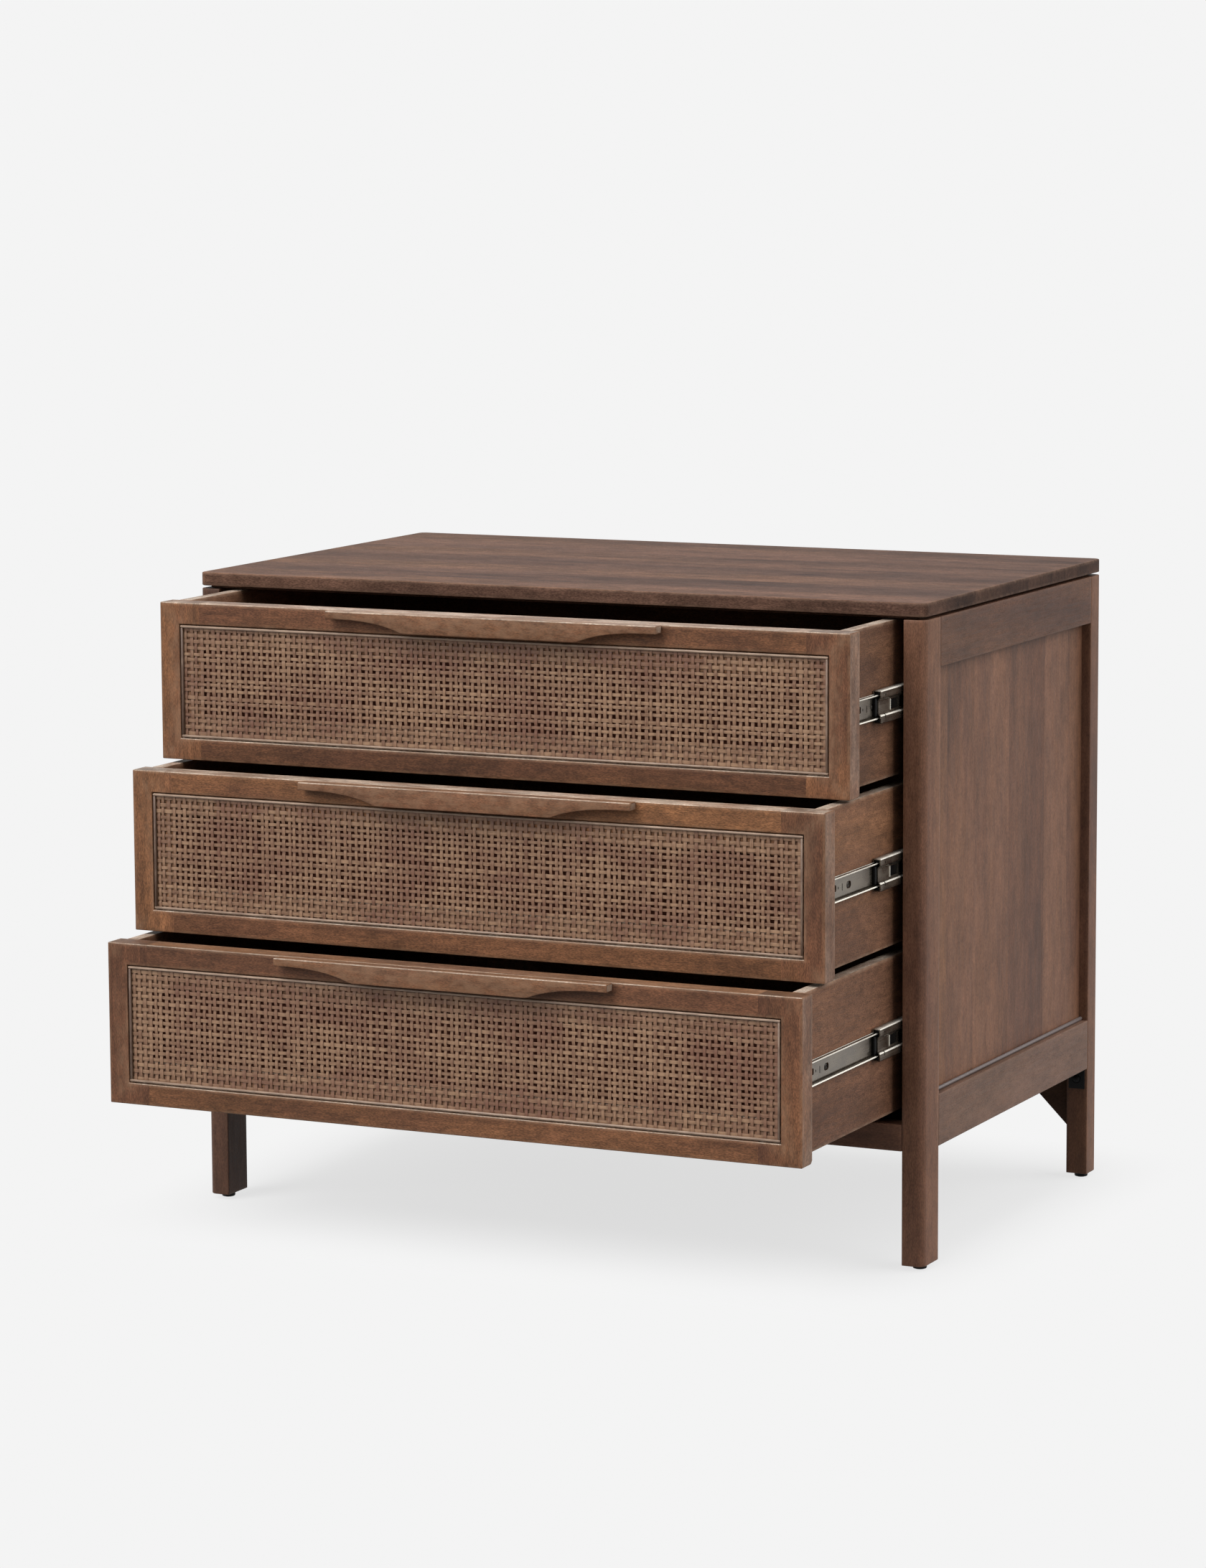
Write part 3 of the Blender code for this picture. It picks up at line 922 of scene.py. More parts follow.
def make_front(number):
    """One front, with the grain of its four boards."""
    node = f"drawer_{number}_front"
    low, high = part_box(node)
    shape = stepped_frame(low, high)
    round_low_back(shape, low, high)
    fade = cane_border - edge_fade
    score(shape, 0, (low.x + stile_width, high.x - stile_width, low.x + fade, high.x - fade))
    score(shape, 2, (low.z + fade, high.z - fade))
    score_sides(shape, low, high)
    ease_edges(shape, front_ease)
    boards = {"left": [], "right": [], "top": [], "bottom": []}
    for face in shape.faces:
        boards[which_board(face.calc_center_median(), low, high)].append(face)
    for board, faces in boards.items():
        along = "z" if board in ("left", "right") else "x"
        lay_grain(shape, along, front_tones[number, board], faces)
    for end in (1, -1):
        paint_bare_and_lit(shape, (end, 0, 0), pale_ends)
    tint(shape, (0, 0, 1), top_tones[number])
    # Painted light from above on the top, partly bare wood, and a painted highlight on the upper edge.
    paint_bare_and_lit(shape, (0, 0, 1), front_tops_bare_and_lit[number])
    paint_bare_and_lit(shape, (0, -1, 1), arris_painted_highlight, arris_limit)
    body = f"drawer_{number}"
    return add_piece(f"front_frame_{number}", [shape], front_wood, body, [node])


drawer_numbers = (1, 2, 3)
for drawer in drawer_numbers:
    front = make_front(drawer)
print("front faces:", len(front.data.polygons))

# %% [markdown]
# ## Pulls
#
# The pull is a wooden lip along the top of each front. It is deep in the middle, and at both sides its
# underside sweeps up and flattens towards thin tips. Behind the lip a groove is hollowed for the
# fingers. A long grid seen from above becomes the pull when its faces are extruded down, each point as
# far as the sweep and the groove say. Bevelled edges then give it the soft, handled look.

# %% Pulls
pull_end_height = 9 * mm
pull_grip_height = 22 * mm
pull_grip_half = 108 * mm
pull_half = 205 * mm
groove_width = 8 * mm
groove_roof = 9.5 * mm
groove_slope = 0.8 * mm
pull_ease = 1.1 * mm
pull_ease_steps = 3
pull_steps = 82
pull_tones = {1: (0.0, 0.35, 0.10), 2: (-0.12, 0.35, 0.10), 3: (-0.06, 0.45, 0.05)}
pull_top_tones = {1: (-0.25, 0.8, 0.0), 2: (-0.45, 1.0, 0.0), 3: (-0.45, 1.0, 0.0)}
# The pull tops are painted paler, partly as wood that took less stain and partly as painted light from
# above.
pull_tops_bare_and_lit = {1: 0.45, 2: 0.14, 3: 0.10}
# The ends of the pulls are painted paler than the face.
pale_pull_ends = 0.8


def pull_height(across):
    """Height of the lip at a distance from its middle."""
    share = min(1.0, max(0.0, (abs(across) - pull_grip_half) / (pull_half - pull_grip_half)))
    rise = 1.0 - (1.0 - share) ** 3
    return pull_grip_height + (pull_end_height - pull_grip_height) * rise


def make_pull(number):
    """One lip: a grid on its top, extruded down along the curve."""
    node = f"drawer_{number}_pull"
    low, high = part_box(node)
    rows = (low.y, high.y - groove_width - groove_slope, high.y - groove_width, high.y)
    last = len(rows) - 1
    shape = new_shape()
    bmesh.ops.create_grid(shape, x_segments=pull_steps, y_segments=last, size=0.5)
    middle = (low.x + high.x) / 2
    for vert in shape.verts:
        row = round((vert.co.y + 0.5) * last)
        vert.co = (middle + vert.co.x * (high.x - low.x), rows[row], high.z)
    grown = bmesh.ops.extrude_face_region(shape, geom=shape.faces[:])["geom"]
    for vert in only(grown, bmesh.types.BMVert):
        drop = pull_height(vert.co.x - middle)
        in_groove = vert.co.y > high.y - groove_width - groove_slope / 2
        vert.co.z -= min(drop, groove_roof) if in_groove else drop
    face_outwards(shape)
    ease_edges(shape, pull_ease, pull_ease_steps)
    lay_grain(shape, "x", pull_tones[number])
    tint(shape, (0, 0, 1), pull_top_tones[number])
    # Painted light from above on the top, partly bare wood, and a painted highlight on the upper edge.
    paint_bare_and_lit(shape, (0, 0, 1), pull_tops_bare_and_lit[number])
    paint_bare_and_lit(shape, (0, -1, 1), arris_painted_highlight, arris_limit)
    for end in (1, -1):
        paint_bare_and_lit(shape, (end, 0, 0), pale_pull_ends)
    body = f"drawer_{number}"
    return add_piece(f"lip_pull_{number}", [shape], front_wood, body, [node])


for drawer in drawer_numbers:
    pull = make_pull(drawer)
print("pull faces:", len(pull.data.polygons))

# %% [markdown]
# ## Woven cane
#
# The fronts are filled with a plain weave of flat cane strips, one over and one under. A picture of a
# weave would be flat, so the strips are real: each is a six-sided tube, subdivided along its length,
# flattened, and bent over and under the strips that it crosses. The places and widths of the strips
# are a little uneven, as cut cane is. Each strip has its own tone, and `edge` says how high it lies,
# with its sides lower than its crown, so a dark colour gathers where it lies low: partly stain, partly
# painted shade.

# %% Cane finish
cane_light = colour(146, 115, 89)
cane_dark = colour(98, 68, 49)
cane_rosy = colour(101, 65, 50)
# The dark colour for stain and painted shade where a strip lies low.
cane_stain_and_shade = colour(60, 33, 22)
cane_fibre_scale = (45.0, 1400.0, 1400.0)
cane_patch_scale = (38.0, 60.0, 60.0)
cane_rosy_scale = (9.0, 9.0, 16.0)
cane_fibre_share = 0.45
cane_tone_share = 0.5
cane_span = (0.30, 0.62)
rosy_span = (0.42, 0.66, 0.0, 0.62)
hollow_stain_and_shade_span = (0.10, 0.90, 0.34, 0.0)
cane_roughness = (0.42, 0.60)
cane_bump = (0.5, 0.15 * mm)
cane_shine = 0.4


def cane_finish():
    """Split cane: long fibres, a tone for each strip, rosy patches, and stain and painted shade in the
    hollows.
    """
    finish, tree, shader = new_finish("woven_cane")
    grain = attribute(tree, "grain", "Vector")
    tone = axes(tree, attribute(tree, "board", "Vector"))
    height = attribute(tree, "edge")
    fibre = cloud(tree, grain, cane_fibre_scale, 2.0)
    patch = cloud(tree, grain, cane_patch_scale)
    share = plus(tree, times(tree, fibre, cane_fibre_share), times(tree, patch, 1.0 - cane_fibre_share))
    share = plus(tree, spread(tree, share, *cane_span), times(tree, tone["X"], cane_tone_share))
    shade = mixed(tree, share, cane_dark, cane_light)
    rosy = cloud(tree, own_place(tree), cane_rosy_scale, 5.0, 0.65)
    rosy = plus(tree, spread(tree, rosy, *rosy_span), tone["Y"])
    shade = mixed(tree, rosy, shade, cane_rosy)
    hollow_stain_and_shade = spread(tree, height, *hollow_stain_and_shade_span)
    fill(tree, shader, {"Base Color": mixed(tree, hollow_stain_and_shade, shade, cane_stain_and_shade),
                        "Roughness": spread(tree, fibre, *noise_span, *cane_roughness),
                        "Normal": bumps(tree, fibre, *cane_bump),
                        "Specular IOR Level": cane_shine})
    return finish


woven_cane = cane_finish()
print("cane nodes:", len(woven_cane.node_tree.nodes))

# %% Weave
strip_pitch = 7.1 * mm
strip_width = 4.35 * mm
strip_thickness = 0.65 * mm
strip_flat = 1.7
crossing_length = 3.4 * mm
weave_swing = 0.34 * mm
weave_depth = 3.6 * mm
weave_wander = 0.22 * mm
weave_crease = 70.0
upright_rosy = 0.22
bead_radius = 1.5 * mm
bead_gap = 1.0 * mm
cane_sink = 2.0 * mm
strip_sides = 6
strip_shoulder = 0.75
pitch_play = 0.14
width_play = 0.14
tone_play = 0.45
crown_shade_share = 0.15


def strip_places(low, high):
    """Uneven places of the strips between two edges, about one pitch apart."""
    count = round((high - low) / strip_pitch)
    pitch = (high - low) / count
    jitter = pitch_play * pitch
    return [low + pitch * (number + 0.5) + draw.uniform(-jitter, jitter) for number in range(count)]


def stations(low, high, crossings):
    """The ends of a strip, and two stops at each crossing between which it lies flat."""
    half = crossing_length / 2
    found = [low]
    for place in crossings:
        found += [place - half, place + half]
    return found + [high]


def cane_strip(place, crossings, ends, over_first, lay, rosy):
    """One strip: a tube bent ring by ring over and under what it crosses, then laid in the weave."""
    stops = stations(*ends, crossings)
    last = len(stops) - 1
    shape = new_shape()
    bmesh.ops.create_cone(shape, cap_ends=True, segments=strip_sides, radius1=1.0, radius2=1.0, depth=1.0)
    long_edges = [edge for edge in shape.edges if abs(edge.verts[0].co.z - edge.verts[1].co.z) > 0.5]
    bmesh.ops.subdivide_edges(shape, edges=long_edges, cuts=last - 1)
    width = strip_width * draw.uniform(1.0 - width_play, 1.0 + width_play)
    wander = [draw.uniform(-weave_wander, weave_wander) for stop in stops]
    tone = (draw.uniform(-tone_play, tone_play), rosy, 0.0)
    tree_place = another_tree()
    edge = shape.verts.layers.float["edge"]
    flat = {}
    for vert in shape.verts:
        step = round((vert.co.z + 0.5) * last)
        over = ((step - 1) // 2 % 2 == 0) == over_first
        swing = 1.0 if over else -1.0
        if step in (0, last):
            swing = 0.0
        side, crown = vert.co.x, vert.co.y
        if abs(side) < strip_shoulder:
            side *= strip_flat
        across = place + side * width / 2 + wander[step]
        height = swing * weave_swing + crown * strip_thickness / 2
        # How high the strip lies, its sides lower than its crown; where it is low, stain and painted
        # shade gather.
        vert[edge] = min(1.0, max(0.0, (swing + 1.0) / 2 + crown_shade_share * (crown - abs(side))))
        flat[vert] = Vector((stops[step], side * width / 2, crown * strip_thickness / 2)) + tree_place
        vert.co = lay(stops[step], across, height)
    grain = shape.loops.layers.float_vector["grain"]
    board = shape.faces.layers.float_vector["board"]
    for face in shape.faces:
        face[board] = tone
        for loop in face.loops:
            loop[grain] = flat[loop.vert]
    face_outwards(shape)
    return shape


def make_weave(number):
    """The whole weave of one front, laid just clear of its ledge."""
    low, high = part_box(f"drawer_{number}_cane")
    plane = low.y - cane_sink + weave_depth
    tuck = bead_gap + bead_radius
    width_ends = (low.x + tuck, high.x - tuck)
    height_ends = (low.z + tuck, high.z - tuck)
    columns = strip_places(*width_ends)
    rows = strip_places(*height_ends)

    def upright(along, across, height):
        return across, plane - height, along

    def level(along, across, height):
        return along, plane - height, across

    strips = [cane_strip(place, rows, height_ends, index % 2 == 0, upright, upright_rosy)
              for index, place in enumerate(columns)]
    strips += [cane_strip(place, columns, width_ends, index % 2 == 1, level, 0.0)
               for index, place in enumerate(rows)]
    return add_piece(f"cane_weave_{number}", strips, woven_cane, f"drawer_{number}",
                     crease=weave_crease)


for drawer in drawer_numbers:
    weave = make_weave(drawer)
print("weave faces:", len(weave.data.polygons))

# %% [markdown]
# ## Cane bead and backer
#
# A thin round reed covers the cut ends of the cane on all four sides. The strips above and below run
# the full width, and the two at the sides fit between them. A dark board closes the opening behind the
# weave, a few millimetres back, which is why the gaps in the middle look dark while those over the
# ledge show wood.

# %% Bead and backer
bead_sides = 12
bead_depth = 1.7 * mm
# Bottom, top, left and right bead: the top is painted lighter and the uprights darker, as painted light
# and shade.
bead_painted_shades = (0.05, 0.2, -0.40, -0.20)
rod_ease = 0.3
reed_scale = (60.0, 900.0, 60.0)
reed_levels = (0.2, 0.6)
reed_roughness = (0.40, 0.55)
backer_dark = colour(66, 34, 22)
backer_light = colour(88, 48, 34)
backer_roughness = (0.75, 0.9)
backer_shine = 0.15
backer_thickness = 2 * mm
backer_gap = 0.3 * mm
backer_ease = 0.4 * mm
backer_scale = (120.0, 120.0, 120.0)


def reed_finish(label, dark, light):
    """A streaked half-gloss strip."""
    finish, tree, shader = new_finish(label)
    streak = cloud(tree, own_place(tree), reed_scale)
    tone = axes(tree, attribute(tree, "board", "Vector"))["X"]
    share = plus(tree, spread(tree, streak, *noise_span, *reed_levels), tone)
    fill(tree, shader, {"Base Color": mixed(tree, share, dark, light),
                        "Roughness": spread(tree, streak, *noise_span, *reed_roughness)})
    return finish


def backer_finish():
    """Dark brown board with a dusty mottle."""
    finish, tree, shader = new_finish("dark_backer")
    mottle = cloud(tree, own_place(tree), backer_scale)
    fill(tree, shader, {"Base Color": mixed(tree, mottle, backer_dark, backer_light),
                        "Roughness": spread(tree, mottle, *noise_span, *backer_roughness),
                        "Specular IOR Level": backer_shine})
    return finish


reed_bead = reed_finish("reed_bead", colour(84, 63, 50), colour(174, 149, 129))
dark_backer = backer_finish()


def rod(start, end, radius, sides):
    """A round rod between two points, its ends eased."""
    start, end = Vector(start), Vector(end)
    shape = new_shape()
    bmesh.ops.create_cone(shape, cap_ends=True, segments=sides, radius1=radius, radius2=radius,
                          depth=(end - start).length)
    aim = (end - start).to_track_quat("Z", "Y").to_matrix()
    bmesh.ops.rotate(shape, verts=shape.verts, cent=(0, 0, 0), matrix=aim)
    bmesh.ops.translate(shape, vec=(start + end) / 2, verts=shape.verts)
    ease_edges(shape, rod_ease * radius, 1)
    return shape


def make_bead_and_backer(number):
    """Four reed strips round the weave, and the board behind it."""
    low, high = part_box(f"drawer_{number}_cane")
    y = low.y - cane_sink + bead_depth
    inset = bead_gap + bead_radius
    left, right = low.x + inset, high.x - inset
    bottom, top = low.z + inset, high.z - inset
    level = [((left - bead_radius, y, z), (right + bead_radius, y, z)) for z in (bottom, top)]
    upright = [((x, y, bottom + bead_radius), (x, y, top - bead_radius)) for x in (left, right)]
    shapes = [rod(*line, bead_radius, bead_sides) for line in level + upright]
    for shape, tone in zip(shapes, bead_painted_shades):
        board = shape.faces.layers.float_vector["board"]
        for face in shape.faces:
            face[board] = (tone, 0.0, 0.0)
    add_piece(f"cane_bead_{number}", shapes, reed_bead, f"drawer_{number}")
    border = cane_ledge + backer_gap
    backer_low = Vector((low.x + border, high.y - backer_thickness, low.z + border))
    backer_high = Vector((high.x - border, high.y, high.z - border))
    shape = new_block(backer_low, backer_high)
    ease_edges(shape, backer_ease)
    add_piece(f"cane_backer_{number}", [shape], dark_backer, f"drawer_{number}",
              [f"drawer_{number}_cane"])


for drawer in drawer_numbers:
    make_bead_and_backer(drawer)
print("beads and backers:", len(drawer_numbers))

# %% [markdown]
# ## Drawer boxes
#
# Behind each front stands a plain box: two sides, a back, and a thin bottom that sits between them.
# Their top edges are painted pale, as painted light from above.

# %% Drawer boxes
# Painted light from above on the top edges of the box boards.
box_top_painted_light = 1.0
box_play = 0.1
# The top drawer's box is painted darkest, partly as painted shade under the top.
box_tones_and_shade = {1: (-0.30, 0.30, 0.10), 2: (-0.12, 0.40, 0.08), 3: (0.02, 0.15, 0.35)}
box_boards = (("side_left", "y", box_wood, "box_wood"), ("side_right", "y", box_wood, "box_wood"),
              ("back", "x", box_wood, "box_wood"), ("bottom", "x", panel_wood, "panel_wood"))
for drawer in drawer_numbers:
    for board_name, board_grain, board_finish, board_slot in box_boards:
        box_node = f"drawer_{drawer}_{board_name}"
        box_tone = any_tone(*box_tones_and_shade[drawer], box_play)
        box_shape = sawn_board(*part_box(box_node), board_grain, box_tone)
        if board_name != "bottom":
            paint_bare_and_lit(box_shape, (0, 0, 1), box_top_painted_light)
        add_piece(f"box_{drawer}_{board_name}", [box_shape], board_finish, f"drawer_{drawer}",
                  [box_node])
print("box boards:", len(box_boards) * len(drawer_numbers))

# %% [markdown]
# ## Slide steel
#
# The drawers run on slides of zinc-plated steel strip, drawn through rollers, so the surface has faint
# lines along its length and a cloudy shine. It is a metal, so its colour tints what it mirrors. The
# rolled lips carry a painted highlight, a pale colour where the mesh says `edge`. The screws are darker.
# One function makes both finishes.

# %% Steel finishes
lip_haze = 0.32
# The pale colour of the painted highlight on the lips.
painted_highlight_zinc = colour(226, 222, 212)
plating_scale = (70.0, 35.0, 70.0)
drawn_scale = (900.0, 9.0, 900.0)
plating_share = 0.7
drawn_bump = (0.25, 0.05 * mm)
steel_share = 0.9


def steel_finish(label, dark, light, smoothest, roughest):
    """Rolled steel: cloudy plating with drawn lines along the strip, and a painted highlight on the lips.
    """
    finish, tree, shader = new_finish(label)
    place = own_place(tree)
    plating = cloud(tree, place, plating_scale)
    drawn = cloud(tree, place, drawn_scale, 2.0)
    share = plus(tree, times(tree, plating, plating_share), times(tree, drawn, 1.0 - plating_share))
    shade = mixed(tree, spread(tree, share, *fibre_span), dark, light)
    highlight = attribute(tree, "edge")
    rough = spread(tree, share, *noise_span, smoothest, roughest)
    fill(tree, shader, {"Base Color": mixed(tree, highlight, shade, painted_highlight_zinc),
                        "Roughness": plus(tree, rough, times(tree, highlight, lip_haze)),
                        "Normal": bumps(tree, drawn, *drawn_bump),
                        "Metallic": steel_share})
    return finish


zinc_steel = steel_finish("zinc_steel", colour(98, 90, 81), colour(132, 123, 111), 0.20, 0.34)
dark_steel = steel_finish("dark_steel", colour(30, 27, 25), colour(58, 54, 50), 0.34, 0.50)
print("steel finishes:", zinc_steel.name, dark_steel.name)

# %% [markdown]
# ## Slide members
#
# A slide has three members that nest: one on the case, one on the drawer, and a third between them
# that runs in both. Each is a strip rolled to a section. A wire of a few points is that section: its
# corners are rounded, it is extruded to the length of the member, and solidify gives it the thickness
# of the sheet. The slots are real holes, cut with a Boolean. One pattern of each member is made, with
# depth along x, length along y and height along z, and is later copied to all six places.

# %% Rolled members
sheet_thickness = 1.2 * mm
roll_radius = 1.2 * mm
roll_steps = 3
slide_length = 500 * mm
nose_length = 24 * mm
case_section = ((10.6, 19.6), (10.6, 22.85), (0.3, 22.85))
middle_section = ((11.8, 14.4), (11.8, 18.3), (2.4, 18.3), (2.4, 9.6), (5.4, 7.2))
drawer_section = ((6.0, 12.9), (7.0, 13.75), (8.4, 12.6), (10.2, 12.6), (11.3, 13.75), (12.7, 13.75),
                  (12.7, 11.4), (12.0, 9.6))
band_scores = (-10.4 * mm, 16.6 * mm)
# Ranges of depth and height that get a painted highlight.
case_lips = ((9.0, 11.0, -25.0, 25.0),)
middle_lips = ((0.0, 3.9, 17.0, 19.0), (0.0, 3.4, -10.3, -8.6), (0.0, 4.7, -6.1, 6.1))
drawer_lips = ((5.0, 7.6, -15.0, 15.0), (10.9, 12.0, 12.9, 15.0), (10.9, 12.0, -15.0, -12.9))
windows = ((68.0, 0.0, 23.0, 11.4, 0.5), (94.0, 0.0, 20.0, 11.4, 0.5),
           (300.0, 0.0, 20.0, 11.4, 0.5), (325.0, 0.0, 20.0, 11.4, 0.5))
window_rim = ((4.6, 55.6, -6.0), (5.8, 56.8, 6.0))
notches = ((37.0, 13.0, 2.2, 3.2, 1.0), (37.0, -10.6, 2.4, 5.6, 1.0))
notch_depth = 4.6
small_slots = ((14.0, 1.0, 5.0, 7.5, 2.2), (22.0, 0.5, 1.8, 3.2, 0.8), (33.0, 0.0, 1.6, 8.0, 0.7))
screw_places = (51.0, 260.0, 455.0)
screw_slot = (0.0, 12.5, 8.0, 3.6)
cut_depth = 15.0
slot_steps = 4
same_point = 0.01 * mm
slide_crease = 35.0


def rolled_strip(section, start):
    """An open strip with a mirrored section, given by its upper half as depth and height."""
    halves = list(section) + [(depth, -height) for depth, height in reversed(section)]
    shape = bmesh.new()
    verts = [shape.verts.new((depth * mm, start, height * mm)) for depth, height in halves]
    for pair in zip(verts, verts[1:]):
        shape.edges.new(pair)
    bmesh.ops.bevel(shape, geom=verts[1:-1], offset=roll_radius, segments=roll_steps, profile=0.5,
                    affect="VERTICES", clamp_overlap=True, material=-1)
    bmesh.ops.remove_doubles(shape, verts=shape.verts, dist=same_point)
    grown = bmesh.ops.extrude_edge_only(shape, edges=shape.edges[:])["geom"]
    far = only(grown, bmesh.types.BMVert)
    bmesh.ops.translate(shape, vec=(0.0, slide_length - start, 0.0), verts=far)
    face_outwards(shape)
    return shape


def thicken(shape):
    """Give an open strip the thickness of the sheet, towards the hollow of its section."""
    bmesh.ops.solidify(shape, geom=shape.faces[:], thickness=sheet_thickness)
    face_outwards(shape)
    return shape


def paint_lip_highlights(shape, lips):
    """Mark the verts inside some ranges of depth and height, in millimetres, for a painted highlight."""
    edge = shape.verts.layers.float.new("edge")
    for vert in shape.verts:
        depth, height = vert.co.x / mm, vert.co.z / mm
        for near, far, low, high in lips:
            if near <= depth <= far and low <= height <= high:
                vert[edge] = 1.0
    return shape


def slot_cutter(along, height, length, tall, rounding, depth=cut_depth):
    """A block to cut a slot with, its corners rounded, all in millimetres."""
    shape = bmesh.new()
    low = Vector((0.0, along - length / 2, height - tall / 2)) * mm
    high = Vector((depth, along + length / 2, height + tall / 2)) * mm
    add_block(shape, low, high)
    level = [edge for edge in shape.edges if abs((edge.verts[0].co - edge.verts[1].co).x) > mm]
    bevel(shape, level, rounding * mm, slot_steps)
    return shape


def pierce(shape, cutters):
    """Cut closed shapes out of a shape."""
    holders = []
    for part in (shape, *cutters):
        mesh = bpy.data.meshes.new("stock")
        part.to_mesh(mesh)
        part.free()
        holders.append(bpy.data.objects.new("stock", mesh))
        scene.collection.objects.link(holders[-1])
    for cutter in holders[1:]:
        cut = holders[0].modifiers.new("cut", "BOOLEAN")
        cut.operation = "DIFFERENCE"
        cut.solver = "EXACT"
        cut.object = cutter
    graph = bpy.context.evaluated_depsgraph_get()
    result = bmesh.new()
    result.from_mesh(holders[0].evaluated_get(graph).data)
    for holder in holders:
        bpy.data.meshes.remove(holder.data)
    return result


def case_member():
    """The member that is screwed to the case."""
    return paint_lip_highlights(thicken(rolled_strip(case_section, 0.0)), case_lips)


def middle_member():
    """The member between, with windows and a rim in its sunk web and a notch in each band."""
    shape = thicken(rolled_strip(middle_section, nose_length))
    score(shape, 2, band_scores)
    cutters = [slot_cutter(*window) for window in windows]
    cutters += [slot_cutter(*notch, notch_depth) for notch in notches]
    shape = pierce(shape, cutters)
    add_block(shape, Vector(window_rim[0]) * mm, Vector(window_rim[1]) * mm)
    return paint_lip_highlights(shape, middle_lips)


def drawer_member():
    """The member that is screwed to the drawer, with its slots."""
    shape = thicken(rolled_strip(drawer_section, 0.0))
    cutters = [slot_cutter(*slot) for slot in small_slots]
    cutters += [slot_cutter(along, *screw_slot) for along in screw_places]
    return paint_lip_highlights(pierce(shape, cutters), drawer_lips)


patterns = {"case": case_member(), "intermediate": middle_member(), "drawer": drawer_member()}
for member, pattern in patterns.items():
    print(member, "member faces:", len(pattern.faces))

# %% [markdown]
# ## Noses, balls and screws
#
# The member between is lined with black plastic: two strips that guide the drawer member, and a bumper
# that reaches back behind the first window, where it also stands in as painted shade.
# Balls run in the corners of the sections, so that steel never rubs on steel: one pair of rows under
# the case member, another round the drawer member. A ball is a small icosphere. The screws that hold the
# drawer member have a domed head, turned from a profile, whose flat top is inset and sunk for a key.

# %% Slide fittings
ball_radius = 1.6 * mm
ball_step = 14 * mm
ball_count = 15
case_balls = (7.2, 20.0, 270.0)
drawer_balls = (8.2, 15.45, 50.0)
screw_sides = 16
screw_profile = ((3.9, 0.0), (3.9, 0.5), (3.2, 1.3), (2.2, 1.8))
screw_seat = 12.6 * mm
key_rim = 0.6 * mm
key_depth = 1.0 * mm
nose_rounding = 0.9 * mm
nose_steps = 3
nose_blocks_and_shade = (
    ((3.8, 24.6, 14.1), (11.0, 48.0, 17.0)),
    ((3.8, 24.6, -17.0), (11.0, 48.0, -14.1)),
    # The bumper runs back behind the first window, partly as painted shade there.
    ((6.8, 19.0, -10.0), (10.4, 84.0, 10.0)),
)


def soft_block(low, high):
    """A block with rounded edges, from corners in millimetres."""
    shape = bmesh.new()
    add_block(shape, Vector(low) * mm, Vector(high) * mm)
    bevel(shape, shape.edges[:], nose_rounding, nose_steps)
    return shape


def ball_rows(depth, height, start):
    """Two rows of balls, above and below the middle of the slide."""
    shape = bmesh.new()
    for number in range(ball_count):
        for side in (-1, 1):
            place = Matrix.Translation((depth * mm, start * mm + number * ball_step, side * height * mm))
            bmesh.ops.create_icosphere(shape, subdivisions=1, radius=ball_radius, matrix=place)
    return shape


def screw_head(along):
    """A domed head with a sunk key, on the web of the drawer member."""
    shape = turned([(radius * mm, height * mm) for radius, height in screw_profile], screw_sides)
    bmesh.ops.holes_fill(shape, edges=shape.edges, sides=0)
    face_outwards(shape)
    flat_top = max(shape.faces, key=lambda face: face.calc_center_median().z)
    bmesh.ops.inset_region(shape, faces=[flat_top], thickness=key_rim)
    bmesh.ops.translate(shape, vec=(0.0, 0.0, -key_depth), verts=flat_top.verts)
    turn = Matrix.Rotation(-math.pi / 2, 3, "Y")
    bmesh.ops.rotate(shape, verts=shape.verts, cent=(0, 0, 0), matrix=turn)
    bmesh.ops.translate(shape, vec=(screw_seat, along * mm, 0.0), verts=shape.verts)
    return shape


balls = [ball_rows(*case_balls), ball_rows(*drawer_balls)]
screws = [screw_head(along) for along in screw_places]
noses = [soft_block(low, high) for low, high in nose_blocks_and_shade]
fittings = (("nose", noses, "intermediate", black_plastic, "black_glide"),
            ("balls", balls, "intermediate", zinc_steel, "zinc"),
            ("screws", screws, "drawer", dark_steel, "zinc"))
print("screw faces:", len(screws[0].faces), "ball rows:", 2 * len(balls))


# %% Slides in place
def fit_slide(shape, node):
    """A copy of a pattern, carried to the place of a slide node and mirrored for the right side."""
    low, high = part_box(node)
    side = 1 if high.x > 0 else -1
    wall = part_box("side_panel_right")[0].x
    copy = shape.copy()
    bmesh.ops.scale(copy, vec=(-side, 1.0, 1.0), verts=copy.verts)
    bmesh.ops.translate(copy, vec=(side * wall, low.y, (low.z + high.z) / 2), verts=copy.verts)
    if side > 0:
        bmesh.ops.reverse_faces(copy, faces=copy.faces)
    return copy


for drawer in drawer_numbers:
    for slide_side in ("left", "right"):
        stem = f"slide_{drawer}_{slide_side}"
        bodies = {"case": "cabinet", "intermediate": f"slides_{drawer}", "drawer": f"drawer_{drawer}"}
        for member, pattern in patterns.items():
            steel = fit_slide(pattern, f"{stem}_{member}")
            add_piece(f"rail_{drawer}_{slide_side}_{member}", [steel], zinc_steel, bodies[member],
                      [f"{stem}_{member}"], slide_crease)
        for fitting, parts, member, fitting_finish, fitting_slot in fittings:
            fitted = [fit_slide(part, f"{stem}_{member}") for part in parts]
            add_piece(f"{fitting}_{drawer}_{slide_side}", fitted, fitting_finish, bodies[member])
for pattern in (*patterns.values(), *balls, *screws, *noses):
    pattern.free()
print("slides:", 2 * len(drawer_numbers))

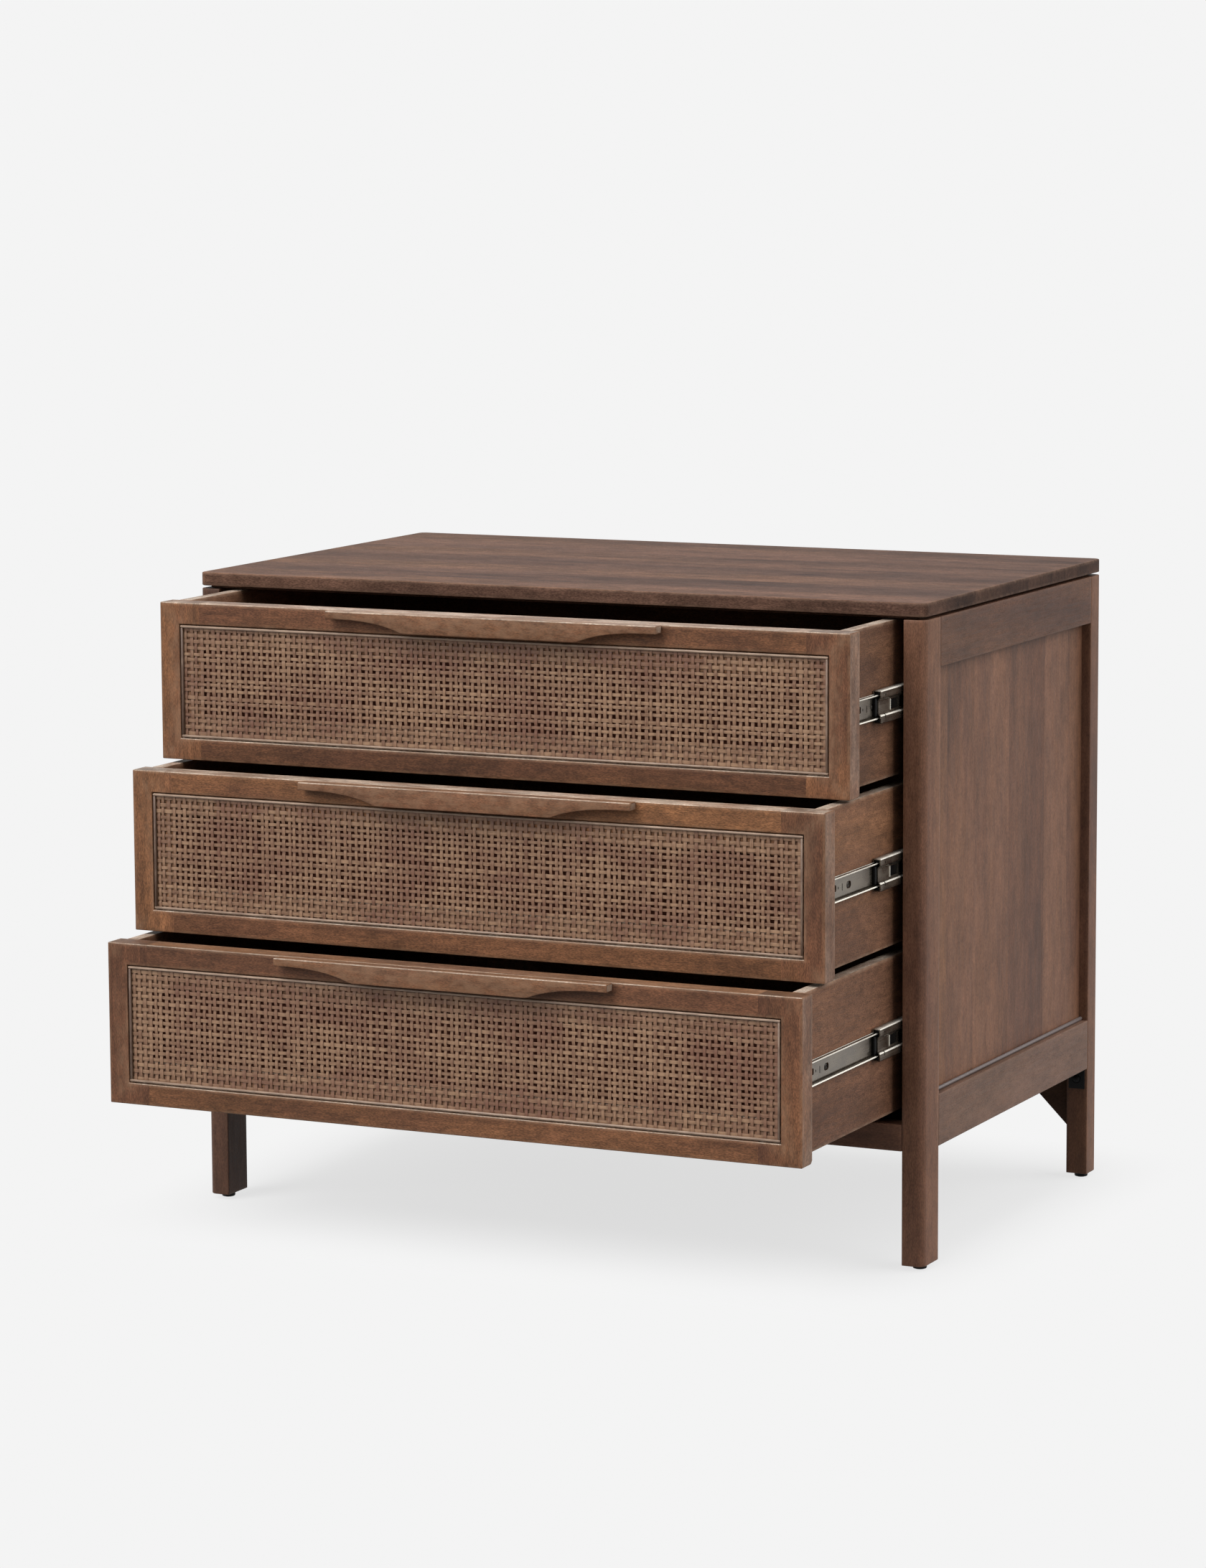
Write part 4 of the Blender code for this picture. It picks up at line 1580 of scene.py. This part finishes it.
# %% [markdown]
# ## Small parts of the case
#
# A thin board closes the case under the lowest drawer. It can hardly be seen, but without it daylight
# would shine through the slit over the low rail, which is dark on a real chest. A bead hides the joint
# between each side panel and the rail under it, and its grey is a painted reflection of the pale sky. A
# black plate is screwed to each back leg below that rail; it is black partly as painted shade under the
# rail. They all take their places from the boards around them.

# %% Small parts of the case
floor_sink = 4 * mm
floor_thickness = 5 * mm
end_gap = 0.5 * mm
floor_tone = (-0.30, 0.10, 0.20)
panel_bead_radius = 2.3 * mm
panel_bead_sides = 16
plate_margin = 3 * mm
plate_height = 24 * mm
plate_thickness = 2 * mm
plate_ease = 0.6 * mm
plate_drop = 1 * mm
plate_screw = 5 * mm
# The bead's grey colours are a painted reflection of the pale sky.
panel_bead_sky_sheen = reed_finish("panel_bead_sky_sheen", colour(74, 65, 63), colour(118, 106, 103))


def make_case_floor():
    """The board between the four low rails."""
    left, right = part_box("side_bottom_rail_left")[1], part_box("side_bottom_rail_right")[0]
    front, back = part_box("front_rail")[1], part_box("back_rail")[0]
    top = front.z - floor_sink
    low = Vector((left.x + end_gap, front.y + end_gap, top - floor_thickness))
    high = Vector((right.x - end_gap, back.y - end_gap, top))
    shape = sawn_board(low, high, "x", floor_tone)
    return add_piece("case_floor", [shape], panel_wood, "cabinet")


def make_panel_bead(side):
    """A round strip in the corner between a side panel and the rail under it."""
    low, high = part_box(f"side_panel_{side}")
    sign = 1 if side == "right" else -1
    x = (high.x if side == "right" else low.x) + sign * panel_bead_radius
    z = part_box(f"side_bottom_rail_{side}")[1].z + panel_bead_radius
    start, end = (x, low.y + end_gap, z), (x, high.y - end_gap, z)
    shape = rod(start, end, panel_bead_radius, panel_bead_sides)
    return add_piece(f"panel_bead_sky_sheen_{side}", [shape], panel_bead_sky_sheen, "cabinet")


def make_plate_and_shade(side):
    """A plate with one screw on the front of a back leg, black partly as painted shade under the rail."""
    low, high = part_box(f"leg_back_{side}")
    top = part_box(f"side_bottom_rail_{side}")[0].z - plate_drop
    plate_low = Vector((low.x + plate_margin, low.y - plate_thickness, top - plate_height))
    plate = new_block(plate_low, Vector((high.x - plate_margin, low.y, top)))
    ease_edges(plate, plate_ease)
    middle = Vector(((low.x + high.x) / 2, low.y - plate_thickness, top - plate_height / 2))
    screw = rod(middle, middle - Vector((0, plate_thickness, 0)), plate_screw, panel_bead_sides)
    return add_piece(f"plate_and_shade_{side}", [plate, screw], black_plastic, "cabinet")


case_floor = make_case_floor()
for case_side in ("left", "right"):
    make_panel_bead(case_side)
    make_plate_and_shade(case_side)
print("case floor:", [round(side, 3) for side in case_floor.dimensions])
